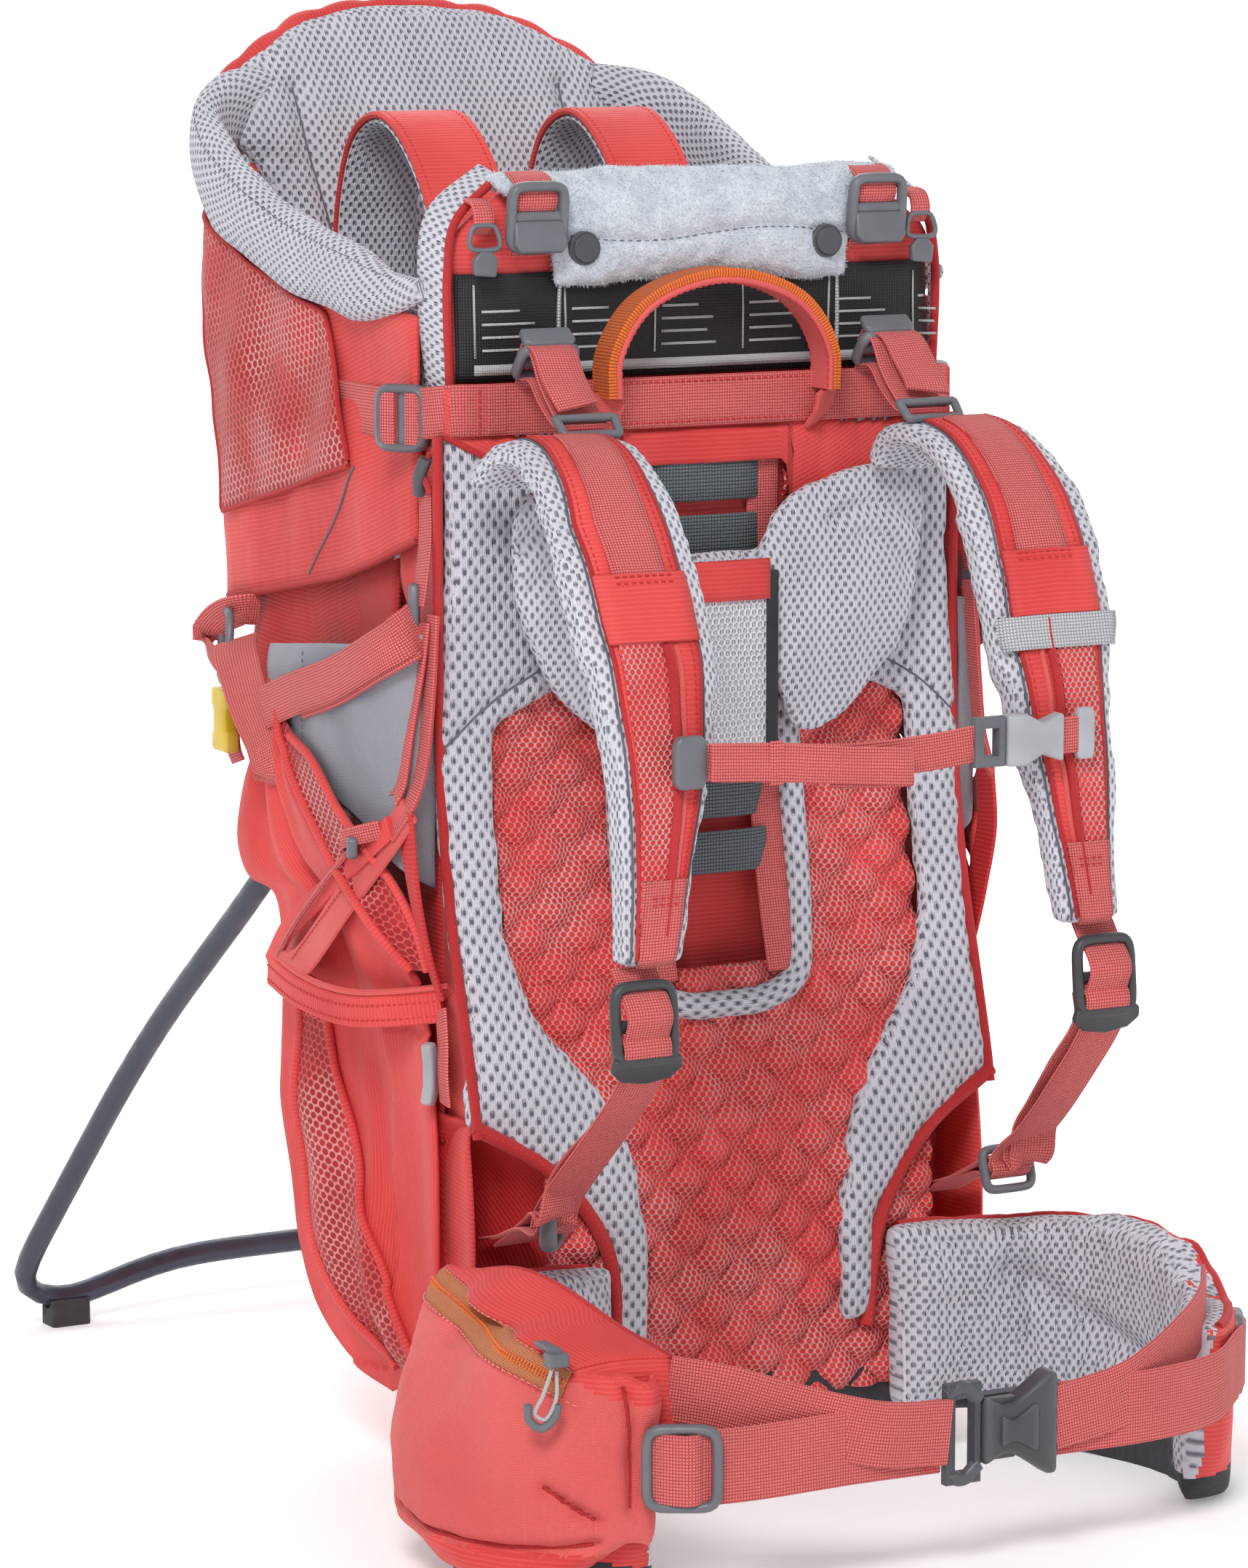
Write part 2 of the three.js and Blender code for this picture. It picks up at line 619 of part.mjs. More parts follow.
addPair("hip_fin", hipFin(), GREY_MESH);
add("hip_pocket", hipPocket(), CORAL_WEBBING);
add("hip_lock_right", hipLockRight(), GREY_PLASTIC);
add("hip_lock_left", hipLockLeft(), GREY_PLASTIC);
add("hip_strap_right", hipStrapRight(), CORAL_WEBBING);
add("hip_strap_left", hipStrapLeft(), CORAL_WEBBING);
add("hip_socket", hipSocket(), DARK_PLASTIC);
add("hip_tongue", hipTongue(), DARK_PLASTIC);
add("zip_slider", zipSlider(), GREY_PLASTIC);

// The origin is the middle of the base bar's underside.
const standing = new THREE.Group();
standing.add(carrier);
standing.position.copy(new THREE.Vector3(0, -BASE.y, -BASE.bottom).applyEuler(carrier.rotation));

export default standing;
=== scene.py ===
"""The looks of a framed child carrier backpack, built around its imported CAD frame."""

import json
import math

import bmesh
import bpy
import numpy as np
from mathutils import Matrix, Vector, noise
from mathutils.bvhtree import BVHTree

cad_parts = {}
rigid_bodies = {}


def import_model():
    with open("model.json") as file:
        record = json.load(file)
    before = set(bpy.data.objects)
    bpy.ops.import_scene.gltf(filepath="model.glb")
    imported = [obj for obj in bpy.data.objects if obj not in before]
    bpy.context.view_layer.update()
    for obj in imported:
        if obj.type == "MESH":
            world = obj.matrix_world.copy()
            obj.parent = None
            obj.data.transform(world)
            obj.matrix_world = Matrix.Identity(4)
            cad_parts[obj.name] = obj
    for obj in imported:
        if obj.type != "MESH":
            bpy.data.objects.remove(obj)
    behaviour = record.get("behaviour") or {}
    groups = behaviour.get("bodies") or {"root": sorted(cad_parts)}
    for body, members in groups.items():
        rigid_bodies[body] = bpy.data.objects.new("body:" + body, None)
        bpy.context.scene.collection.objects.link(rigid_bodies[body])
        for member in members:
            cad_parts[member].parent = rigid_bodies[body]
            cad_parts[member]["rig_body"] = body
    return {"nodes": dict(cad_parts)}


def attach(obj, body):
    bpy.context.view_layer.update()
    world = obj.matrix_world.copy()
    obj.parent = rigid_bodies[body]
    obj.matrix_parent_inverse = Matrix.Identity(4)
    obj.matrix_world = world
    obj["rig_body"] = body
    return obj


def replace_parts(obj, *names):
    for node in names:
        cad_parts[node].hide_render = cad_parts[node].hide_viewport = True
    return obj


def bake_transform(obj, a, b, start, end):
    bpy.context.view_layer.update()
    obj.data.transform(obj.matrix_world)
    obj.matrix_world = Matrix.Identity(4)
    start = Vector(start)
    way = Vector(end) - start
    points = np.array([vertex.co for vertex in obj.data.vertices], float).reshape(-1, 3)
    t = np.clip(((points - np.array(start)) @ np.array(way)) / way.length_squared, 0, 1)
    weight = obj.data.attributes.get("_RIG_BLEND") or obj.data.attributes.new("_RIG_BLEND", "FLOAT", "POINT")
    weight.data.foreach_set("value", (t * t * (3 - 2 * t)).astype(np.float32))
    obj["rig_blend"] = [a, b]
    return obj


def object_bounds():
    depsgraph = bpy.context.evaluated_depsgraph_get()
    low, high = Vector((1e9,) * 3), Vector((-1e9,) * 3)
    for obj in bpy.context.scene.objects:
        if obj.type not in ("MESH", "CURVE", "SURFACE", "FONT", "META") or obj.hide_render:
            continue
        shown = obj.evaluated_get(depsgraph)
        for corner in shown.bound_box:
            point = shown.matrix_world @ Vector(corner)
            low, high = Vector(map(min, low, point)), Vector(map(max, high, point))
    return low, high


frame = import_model()
CAD_BOX = [list(corner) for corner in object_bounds()]

# ---- The carrier's own frame ---------------------------------------------------------------------------
# Shapes are in millimetres in the frame of the leaning back panel: X to the right, Y towards the child,
# Z up the panel. The row frame is the standing carrier's, in metres.

MM = 0.001
LEAN = math.radians(2.5)
ORIGIN = np.array([0.0, 34.0, 46.0])  # the middle of the base bar's underside
TILT = np.array([[1, 0, 0], [0, math.cos(LEAN), -math.sin(LEAN)], [0, math.sin(LEAN), math.cos(LEAN)]])
X, Y, Z = np.eye(3)


def to_row(points):
    return (np.asarray(points, float) - ORIGIN) @ TILT.T * MM


def to_mm(points):
    return (np.asarray(points, float) / MM) @ TILT + ORIGIN


def corners_of(mesh):
    co = np.empty(len(mesh.vertices) * 3, np.float32)
    mesh.vertices.foreach_get("co", co)
    return to_mm(co.reshape(-1, 3))


def extent(node):
    """Lowest and highest corner of a CAD node, in the carrier's frame."""
    co = corners_of(frame["nodes"][node].data)
    return co.min(0), co.max(0)


def middle(node):
    return sum(extent(node)) / 2


def body_of(node):
    return frame["nodes"][node]["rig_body"]


def mirrored(points, side):
    """Points given for the right side, moved to a side: 1 is right and -1 is left."""
    return np.asarray(points, float) * np.array([side, 1, 1])


SIDES = (("right", 1), ("left", -1))


def add_object(name, data):
    obj = bpy.data.objects.new(name, data)
    bpy.context.scene.collection.objects.link(obj)
    return obj


def faces_of(obj):
    """Centres and normals of the faces, in the carrier's frame."""
    polygons = obj.data.polygons
    centre = to_mm(np.array([p.center for p in polygons], float))
    return centre, np.array([p.normal for p in polygons], float) @ TILT


def length_of(line):
    return np.linalg.norm(np.diff(np.asarray(line, float), axis=0), axis=1).sum()

# ---- Lines and grids -----------------------------------------------------------------------------------


def resample(line, count):
    along = np.r_[0, np.cumsum(np.linalg.norm(np.diff(line, axis=0), axis=1))]
    stops = np.linspace(0, along[-1], count)
    return np.stack([np.interp(stops, along, line[:, k]) for k in range(line.shape[1])], 1)


def smooth(points, count, closed=False):
    """Evenly spaced points of a smooth line through the given ones."""
    p = np.asarray(points, float)
    if closed:
        p = np.vstack([p[-1:], p, p[:2]])
    else:
        p = np.vstack([2 * p[0] - p[1], p, 2 * p[-1] - p[-2]])
    dense = []
    for a, b, c, d in zip(p, p[1:], p[2:], p[3:]):
        t = np.cumsum([0] + [max(np.linalg.norm(v - u), 1e-6) ** 0.5 for u, v in ((a, b), (b, c), (c, d))])
        s = np.linspace(t[1], t[2], 16, endpoint=False)[:, None]
        ab = ((t[1] - s) * a + (s - t[0]) * b) / (t[1] - t[0])
        bc = ((t[2] - s) * b + (s - t[1]) * c) / (t[2] - t[1])
        cd = ((t[3] - s) * c + (s - t[2]) * d) / (t[3] - t[2])
        abc = ((t[2] - s) * ab + (s - t[0]) * bc) / (t[2] - t[0])
        bcd = ((t[3] - s) * bc + (s - t[1]) * cd) / (t[3] - t[1])
        dense.append(((t[2] - s) * abc + (s - t[1]) * bcd) / (t[2] - t[1]))
    return resample(np.vstack(dense + [p[-2:-1]]), count)


def unit(v):
    v = np.asarray(v, float)
    return v / np.maximum(np.linalg.norm(v, axis=-1, keepdims=True), 1e-9)


def grid_uv(points):
    """Distances across and along a grid of points, in millimetres, measured from its middle column."""
    rows, cols = points.shape[:2]
    across = np.concatenate([np.zeros((rows, 1)), np.linalg.norm(np.diff(points, axis=1), axis=2)],
                            1).cumsum(1)
    along = np.concatenate([np.zeros((1, cols)), np.linalg.norm(np.diff(points, axis=0), axis=2)],
                           0).cumsum(0)
    across -= across[:, cols // 2 : cols // 2 + 1]
    return np.stack([across, along], 2)


def grid_faces(rows, cols, uv, around=False, caps=False, start=0):
    """Faces of a grid and the UVs of their corners; uv has one more column when the grid closes on itself."""
    faces, corners = [], []
    for i in range(rows - 1):
        for j in range(cols if around else cols - 1):
            k = (j + 1) % cols
            cell = (i * cols + j, i * cols + k, (i + 1) * cols + k, (i + 1) * cols + j)
            faces.append([start + v for v in cell])
            corners += [uv[i, j], uv[i, j + 1], uv[i + 1, j + 1], uv[i + 1, j]]
    if caps:
        for i, order in ((0, range(cols - 1, -1, -1)), (rows - 1, range(cols))):
            faces.append([start + i * cols + j for j in order])
            corners += [uv[i, j] for j in order]
    return faces, corners

# ---- Materials -----------------------------------------------------------------------------------------


class Look:
    """A node material built from small expressions. Cloth looks read the UV map, which is in millimetres."""

    def __init__(self, name, roughness=0.8, metallic=0.0, sheen=0.0, gloss=0.25):
        self.material = bpy.data.materials.new(name)
        self.material.use_nodes = True
        self.tree = self.material.node_tree
        self.shader = self.tree.nodes["Principled BSDF"]
        self.put(roughness, self.shader.inputs["Roughness"])
        self.put(metallic, self.shader.inputs["Metallic"])
        self.put(sheen, self.shader.inputs["Sheen Weight"])
        self.put(0.4, self.shader.inputs["Sheen Roughness"])
        self.put(gloss, self.shader.inputs["Specular IOR Level"])

    def put(self, value, socket):
        if isinstance(value, bpy.types.NodeSocket):
            self.tree.links.new(value, socket)
        elif value is not None:
            socket.default_value = (*value, 1) if socket.type == "RGBA" else value

    def node(self, kind, *values, **settings):
        made = self.tree.nodes.new("ShaderNode" + kind)
        for key, value in settings.items():
            setattr(made, key, value)
        for value, socket in zip(values, made.inputs):
            self.put(value, socket)
        return made

    def math(self, operation, *values):
        return self.node("Math", *values, operation=operation).outputs[0]

    def ramp(self, value, low, high, to_low=0.0, to_high=1.0):
        made = self.node("MapRange", value, low, high, to_low, to_high, interpolation_type="SMOOTHSTEP")
        return made.outputs[0]

    def mix(self, factor, a, b):
        made = self.node("Mix", data_type="RGBA")
        self.put(factor, made.inputs[0])
        self.put(a, made.inputs[6])
        self.put(b, made.inputs[7])
        return made.outputs[2]

    def cloth(self, wander=0.0):
        """Distances across and along the cloth, straying a little from straight."""
        uv = self.node("UVMap").outputs[0]
        parts = self.node("SeparateXYZ", uv).outputs
        if not wander:
            return parts[0], parts[1]
        drift = self.node("TexNoise", uv, None, 0.045, 1.0).outputs["Color"]
        shift = self.node("SeparateXYZ", drift).outputs
        return [self.math("MULTIPLY_ADD", shift[k], wander, parts[k]) for k in (0, 1)]

    def noise(self, scale, detail=3.0, squeeze=(1, 1, 1)):
        coord = self.node("TexCoord").outputs["Object"]
        if squeeze != (1, 1, 1):
            coord = self.node("Mapping", coord, None, None, squeeze).outputs[0]
        return self.node("TexNoise", coord, None, scale, detail).outputs[0]

    def holes(self, u, v, pitch, radius):
        """Distance from the nearest hole of a staggered lattice: 1 at a hole's edge."""
        found = []
        for shift in (0.0, 0.5):
            parts = []
            for along, step, size in zip((u, v), pitch, radius):
                cell = self.math("FRACT", self.math("MULTIPLY_ADD", along, 1 / step, shift))
                offset = self.math("MULTIPLY", self.math("SUBTRACT", cell, 0.5), step / size)
                parts.append(self.math("MULTIPLY", offset, offset))
            found.append(self.math("SQRT", self.math("ADD", *parts)))
        return self.math("MINIMUM", *found)

    def wave(self, along, step):
        """Rounded ribs: 0 in the groove, 1 on the crest."""
        return self.math("ABSOLUTE", self.math("SINE", self.math("MULTIPLY", along, math.pi / step)))

    def bump(self, *layers):
        """Each layer is a height and its depth in metres."""
        normal = None
        for height, depth in layers:
            made = self.node("Bump")
            self.put(depth, made.inputs["Distance"])
            self.put(height, made.inputs["Height"])
            self.put(normal, made.inputs["Normal"])
            normal = made.outputs[0]
        self.put(normal, self.shader.inputs["Normal"])

    def color(self, value):
        self.put(value, self.shader.inputs["Base Color"])


def spacer_look(name, light, dark, pitch=(6.2, 8.8), radius=(0.85, 1.5)):
    """Knitted spacer mesh with staggered oval holes. The holes are painted dark, as the inner layer seen in
    shade; the knit's grooves and a ring round each hole get painted shade.
    """
    look = Look(name, 0.85, sheen=0.2)
    u, v = look.cloth(2.0)
    edge = look.holes(u, v, pitch, radius)
    knit = look.wave(u, 1.1)
    patchy = look.ramp(look.noise(16), 0.35, 0.7)
    cloth = look.mix(patchy, light, tuple(0.93 * c for c in light))
    # Painted shade in the knit's grooves.
    cloth = look.mix(look.ramp(knit, 0.0, 0.5, 0.14, 0.0), cloth, tuple(0.7 * c for c in light))
    # Painted shade in a ring round each hole.
    cloth = look.mix(look.ramp(edge, 1.0, 1.7, 0.25, 0.0), cloth, tuple(0.6 * c for c in light))
    # The holes take the dark colour: painted shade inside them.
    look.color(look.mix(look.ramp(edge, 0.75, 1.08), dark, cloth))
    look.bump((look.noise(45), 0.003), (knit, 0.0002), (look.ramp(edge, 0.6, 2.1), 0.0013))
    return look.material


def net_look(name, strand, behind, pitch, radius):
    """Coral net of staggered round holes, painted dark red as the layer behind seen in shade, with painted
    highlights (glints) on its threads.
    """
    look = Look(name, 0.5, sheen=0.1)
    u, v = look.cloth(1.5)
    edge = look.holes(u, v, pitch, radius)
    patchy = look.ramp(look.noise(22), 0.4, 0.62)
    # Painted highlights: paler glints on the threads.
    thread = look.mix(patchy, strand, (0.92, 0.36, 0.35))
    # The holes show the layer behind in painted shade.
    under = look.mix(look.ramp(look.noise(30), 0.45, 0.75), behind, tuple(1.6 * c for c in behind))
    look.color(look.mix(look.ramp(edge, 0.8, 1.1), under, thread))
    look.bump((look.noise(60), 0.0008), (look.ramp(edge, 0.7, 1.5), 0.0011))
    return look.material


def ripstop_look(name, light, deep):
    """Coated fabric with fine ribs across it and soft wrinkles. Light and deep are its lit and shaded tones:
    painted shade in the wrinkles' hollows and the ribs' grooves, and a painted highlight on the ribs' crests.
    """
    look = Look(name, 0.6, sheen=0.08)
    u, v = look.cloth(1.2)
    ribs = look.wave(v, 2.2)
    cross = look.wave(u, 0.9)
    folds = look.noise(10, 4, squeeze=(1.0, 1.0, 0.55))
    # Painted shade in the wrinkles' hollows.
    tone = look.mix(look.ramp(folds, 0.3, 0.7), deep, light)
    # Painted shade in the ribs' grooves.
    tone = look.mix(look.ramp(ribs, 0.0, 0.35, 0.22, 0.0), tone, tuple(0.72 * c for c in deep))
    # Painted highlight on the ribs' crests.
    look.color(look.mix(look.ramp(ribs, 0.92, 1.0, 0.0, 0.1), tone, (0.95, 0.42, 0.4)))
    look.bump((folds, 0.009), (ribs, 0.00014), (cross, 0.00006))
    return look.material


def webbing_look(name, light, deep, rib=1.35):
    """Woven strap with a fine grid of ribs, with painted shade in the deep tone in the weave's grooves."""
    look = Look(name, 0.75, sheen=0.1)
    u, v = look.cloth(0.5)
    along = look.wave(v, rib)
    across = look.wave(u, rib * 1.05)
    weave = look.math("MULTIPLY", look.ramp(along, 0.0, 0.8), look.ramp(across, 0.0, 0.8))
    patchy = look.ramp(look.noise(25), 0.35, 0.7, 0.0, 0.35)
    tone = look.mix(patchy, light, tuple(0.82 * c for c in light))
    # Painted shade: the weave's grooves take the deep tone.
    look.color(look.mix(look.ramp(weave, 0.05, 0.55), deep, tone))
    look.bump((look.noise(30), 0.002), (weave, 0.0006))
    return look.material


def plain_cloth_look(name, light, deep, weave, wrinkle=0.008, rough=0.75):
    """Plain weave with a thread every weave millimetres. Light and deep are its lit and shaded tones: painted
    shade in the wrinkles' hollows and between the threads.
    """
    look = Look(name, rough, sheen=0.1)
    u, v = look.cloth(0.6)
    thread = look.math("MULTIPLY", look.wave(u, weave), look.wave(v, weave))
    folds = look.noise(8, 4)
    # Painted shade in the wrinkles' hollows.
    tone = look.mix(look.ramp(folds, 0.3, 0.7), deep, light)
    # Painted shade between the threads.
    look.color(look.mix(look.ramp(thread, 0.0, 0.6, 0.25, 0.0), tone, tuple(0.6 * c for c in deep)))
    look.bump((folds, wrinkle), (thread, 0.00025))
    return look.material


def plush_look(name, light, deep):
    """Short fluffy pile in uneven tufts, with painted shade in the deep tone between the tufts and down in
    the pile.
    """
    look = Look(name, 0.95, sheen=0.8)
    pile = look.noise(900, 2)
    tufts = look.noise(90, 3)
    # Painted shade between the tufts.
    tone = look.mix(look.ramp(tufts, 0.3, 0.7), deep, light)
    # Painted shade down in the pile.
    look.color(look.mix(look.ramp(pile, 0.35, 0.6, 0.5, 1.0), tuple(0.82 * c for c in deep), tone))
    look.bump((look.noise(40), 0.004), (tufts, 0.002), (pile, 0.0006))
    return look.material


def plastic_look(name, color, roughness=0.42, pale_edges=0.05):
    """Moulded plastic: fine grain, a satin that varies, and paler sharp edges."""
    look = Look(name, 0.4, gloss=0.5)
    # Sharp convex edges are made paler, by pointiness.
    edge = look.ramp(look.node("NewGeometry").outputs["Pointiness"], 0.505, 0.56, 0.0, pale_edges)
    patchy = look.ramp(look.noise(35), 0.3, 0.7)
    base = look.mix(patchy, color, tuple(0.8 * c for c in color))
    look.color(look.mix(edge, base, (0.75, 0.75, 0.78)))
    look.put(look.ramp(look.noise(120), 0.3, 0.7, roughness - 0.07, roughness + 0.1),
             look.shader.inputs["Roughness"])
    look.bump((look.noise(1400, 2), 0.00008))
    return look.material


def metal_look(name, color, metallic, roughness):
    """Painted or bare tube, brushed a little along its length."""
    look = Look(name, roughness, metallic)
    brushed = look.noise(260, 2, squeeze=(1.0, 0.3, 0.3))
    patchy = look.ramp(look.noise(14), 0.3, 0.7)
    look.color(look.mix(patchy, color, tuple(0.82 * c for c in color)))
    look.put(look.ramp(brushed, 0.3, 0.7, roughness - 0.06, roughness + 0.1), look.shader.inputs["Roughness"])
    look.bump((brushed, 0.00006))
    return look.material


# Cloth looks take two tones of one colour: light is the lit tone, and deep (dark or behind for the meshes and
# nets) is the shaded tone, painted into hollows, grooves and holes.
SPACER = spacer_look("grey_spacer_mesh", (0.62, 0.615, 0.68), (0.12, 0.12, 0.16))
FINE_SPACER = spacer_look("fine_spacer_mesh", (0.64, 0.635, 0.70), (0.18, 0.18, 0.23), (4.6, 6.4),
                          (0.58, 0.95))
NET = net_look("coral_net", (0.95, 0.19, 0.18), (0.56, 0.026, 0.03), (3.2, 4.6), (1.0, 1.1))
OPEN_NET = net_look("coral_open_net", (0.8, 0.12, 0.115), (0.34, 0.014, 0.018), (4.6, 7.2), (1.8, 1.9))
RIPSTOP = ripstop_look("coral_ripstop", (0.76, 0.08, 0.077), (0.6, 0.042, 0.042))
# A shaded copy of the coral ripstop: painted shade for panels that sit in shade.
SHADED_RIPSTOP = ripstop_look("shaded_red_ripstop", (0.62, 0.035, 0.038), (0.46, 0.018, 0.02))
PLATE = spacer_look("pale_plate", (0.8, 0.8, 0.84), (0.5, 0.5, 0.55), (3.2, 5.5), (0.7, 0.8))
CANVAS = plain_cloth_look("coral_canvas", (0.82, 0.155, 0.145), (0.70, 0.10, 0.095), 1.1)
WEBBING = webbing_look("coral_webbing", (0.86, 0.2, 0.195), (0.56, 0.065, 0.07))
BINDING = plain_cloth_look("red_binding", (0.62, 0.045, 0.048), (0.48, 0.025, 0.03), 0.9, 0.002)
RUNG_WEBBING = webbing_look("grey_webbing", (0.16, 0.185, 0.2), (0.05, 0.06, 0.07), 1.6)
ELASTIC = webbing_look("pale_elastic", (0.66, 0.66, 0.69), (0.38, 0.38, 0.41), 1.5)
ORANGE = webbing_look("orange_webbing", (0.84, 0.18, 0.035), (0.5, 0.08, 0.015), 1.5)
ZIP_TAPE = webbing_look("orange_zip_tape", (0.86, 0.30, 0.13), (0.6, 0.17, 0.07), 0.9)
PLUSH = plush_look("grey_plush", (0.66, 0.70, 0.76), (0.54, 0.58, 0.65))
LINING = plain_cloth_look("grey_lining", (0.42, 0.42, 0.47), (0.3, 0.3, 0.345), 0.7, 0.012, 0.55)
DARK_CLOTH = plain_cloth_look("dark_fabric", (0.052, 0.052, 0.06), (0.033, 0.033, 0.04), 1.0, 0.004)
SIGN = plain_cloth_look("black_sign", (0.028, 0.026, 0.028), (0.016, 0.015, 0.017), 1.4, 0.002, 0.4)
SIGN_MARK = plain_cloth_look("pale_mark", (0.55, 0.55, 0.56), (0.45, 0.45, 0.46), 1.2, 0.001)
THREAD = plain_cloth_look("coral_thread", (0.72, 0.06, 0.065), (0.55, 0.03, 0.035), 0.4, 0.001)
GREY_THREAD = plain_cloth_look("grey_thread", (0.23, 0.23, 0.28), (0.15, 0.15, 0.2), 0.4, 0.001)
GREY_PLASTIC = plastic_look("grey_plastic", (0.125, 0.13, 0.15))
LIGHT_PLASTIC = plastic_look("light_plastic", (0.42, 0.43, 0.46))
DARK_PLASTIC = plastic_look("dark_plastic", (0.055, 0.057, 0.068))
BLACK_PLASTIC = plastic_look("black_plastic", (0.014, 0.014, 0.018), 0.4)
YELLOW_PLASTIC = plastic_look("yellow_plastic", (0.78, 0.55, 0.03))
RUBBER = plastic_look("rubber", (0.022, 0.02, 0.024), 0.72, 0.04)
STAND_PAINT = metal_look("slate_paint", (0.075, 0.08, 0.105), 0.55, 0.34)
BARE_METAL = metal_look("bare_metal", (0.6, 0.61, 0.63), 0.95, 0.3)
BOARD = plastic_look("board", (0.35, 0.36, 0.38), 0.6, 0.04)

# ---- Pieces --------------------------------------------------------------------------------------------


MERGE_DISTANCE = 1e-5  # metres: corners of a CAD mesh closer than this are one corner


def round_edges(obj, width, angle):
    """Rounds the edges sharper than an angle in degrees."""
    edge = obj.modifiers.new("edges", "BEVEL")
    edge.width = width * MM
    edge.segments = 3
    edge.limit_method = "ANGLE"
    edge.angle_limit = math.radians(angle)
    edge.use_clamp_overlap = True


def shade(obj, angle):
    """Smooth shading, with the edges sharper than an angle in degrees left sharp."""
    obj.data.shade_smooth()
    obj.data.set_sharp_from_angle(angle=math.radians(angle))


def dress(obj, materials):
    obj.data.materials.clear()
    for material in materials:
        obj.data.materials.append(material)


def settle(obj, body):
    """Rides on a body, or bends between two when body is (a, b, start, end) with points in millimetres."""
    if isinstance(body, tuple):
        a, b, start, end = body
        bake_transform(obj, a, b, start=to_row(start), end=to_row(end))
    else:
        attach(obj, body)
    return obj


def piece(name, verts, faces, corners, material, body=None, soft_angle=50):
    """A mesh from millimetre points; corners holds a UV for each face corner."""
    mesh = bpy.data.meshes.new(name)
    mesh.from_pydata(to_row(verts).tolist(), [], faces)
    layer = mesh.uv_layers.new(name="cloth")
    layer.data.foreach_set("uv", np.asarray(corners, np.float32).ravel())
    bm = bmesh.new()
    bm.from_mesh(mesh)
    bmesh.ops.recalc_face_normals(bm, faces=bm.faces)
    bm.to_mesh(mesh)
    bm.free()
    mesh.shade_smooth()
    mesh.set_sharp_from_angle(angle=math.radians(soft_angle))
    obj = add_object(name, mesh)
    dress(obj, [material])
    return settle(obj, body) if body else obj


def bake(obj):
    """Applies the modifiers."""
    depsgraph = bpy.context.evaluated_depsgraph_get()
    mesh = bpy.data.meshes.new_from_object(obj.evaluated_get(depsgraph), depsgraph=depsgraph)
    obj.modifiers.clear()
    obj.data = mesh
    return obj


def ellipse(a, b, sides=10):
    angle = np.linspace(0, 2 * math.pi, sides, endpoint=False)
    return np.stack([a * np.cos(angle), b * np.sin(angle)], 1)


def strap_section(width, thick):
    """A flat strap's section, with rounded edges."""
    half, edge = width / 2, min(0.8, thick / 2)
    top = [(half - edge, thick / 2), (half / 3, thick / 2), (-half / 3, thick / 2), (-half + edge, thick / 2)]
    return np.array([(half, 0)] + top + [(-half, 0)] + [(x, -y) for x, y in reversed(top)])


def sweep(line, section, across=None, closed=False):
    """Rings of a section carried along a line. Across is its first direction: one, or some along the line."""
    line = np.asarray(line, float)
    ahead = np.roll(line, -1, 0) - np.roll(line, 1, 0) if closed else np.gradient(line, axis=0)
    tangent = unit(ahead)
    if across is None:
        start = X if abs(tangent[0][0]) < 0.8 else Z
        sides, side = [], start
        for t in tangent:
            side = unit(side - t * (side @ t))
            sides.append(side)
        side = np.array(sides)
    else:
        across = np.asarray(across, float)
        if across.ndim > 1 and len(across) != len(line):
            shares, stops = np.linspace(0, 1, len(line)), np.linspace(0, 1, len(across))
            across = np.stack([np.interp(shares, stops, across[:, k]) for k in range(3)], 1)
        across = np.broadcast_to(across, line.shape)
        side = unit(across - tangent * (across * tangent).sum(1, keepdims=True))
    up = np.cross(tangent, side)
    section = np.asarray(section, float)
    if section.ndim == 2:
        section = np.broadcast_to(section, (len(line), *section.shape))
    return line[:, None] + side[:, None] * section[..., :1] + up[:, None] * section[..., 1:]


def tube_piece(name, rings, material, body, flat=False, closed=False, **kw):
    """Closes rings into a tube. Flat straps read their UV across the strap, round ones around it."""
    rows, cols = rings.shape[:2]
    uv = grid_uv(np.concatenate([rings, rings[:, :1]], 1))
    uv[..., 1] = uv[..., 1].mean(1, keepdims=True)
    if flat:
        half = cols // 2
        reach = np.linalg.norm(rings[:, 0] - rings[:, half], axis=1)[:, None]
        share = np.array([0] + [0.04, 0.34, 0.66, 0.96] + [1] + [0.96, 0.66, 0.34, 0.04] + [0])[None]
        uv = np.stack([(share - 0.5) * reach, uv[..., 1]], 2)
    faces, corners = grid_faces(rows, cols, uv, around=True, caps=not closed)
    verts = rings.reshape(-1, 3)
    if closed:
        last, first = (rows - 1) * cols, 0
        for j in range(cols):
            k = (j + 1) % cols
            faces.append([last + j, last + k, first + k, first + j])
            corners += [uv[-1, j], uv[-1, j + 1], uv[-1, j + 1], uv[-1, j]]
    return piece(name, verts, faces, corners, material, body, **kw)


def strap(name, points, across, body, width=25, thick=1.7, material=None, line=None):
    """A length of webbing through the given points."""
    if line is None:
        line = smooth(points, max(12, int(length_of(points) / 2.5)))
    rings = sweep(line, strap_section(width, thick), across)
    return tube_piece(name, rings, material or WEBBING, body, flat=True)


def piping(name, line, radius, body, material=None, closed=False, sides=8):
    """A round cord along a line."""
    rings = sweep(line, ellipse(radius, radius, sides), closed=closed)
    return tube_piece(name, rings, material or BINDING, body, closed=closed)


def cord(name, points, radius, body, material=None, count=None, closed=False):
    """A round cord smoothed through the given points."""
    line = smooth(points, count or max(8, int(length_of(points) / 4)), closed)
    return piping(name, line[:-1] if closed else line, radius, body, material, closed)


def sheet(name, grid, material, body, thick, uv=None):
    """Cloth of some thickness over a grid of points."""
    rows, cols = grid.shape[:2]
    faces, corners = grid_faces(rows, cols, grid_uv(grid) if uv is None else uv)
    obj = piece(name, grid.reshape(-1, 3), faces, corners, material)
    shell = obj.modifiers.new("thickness", "SOLIDIFY")
    shell.thickness = thick * MM
    shell.offset = 0.0
    return settle(bake(obj), body)


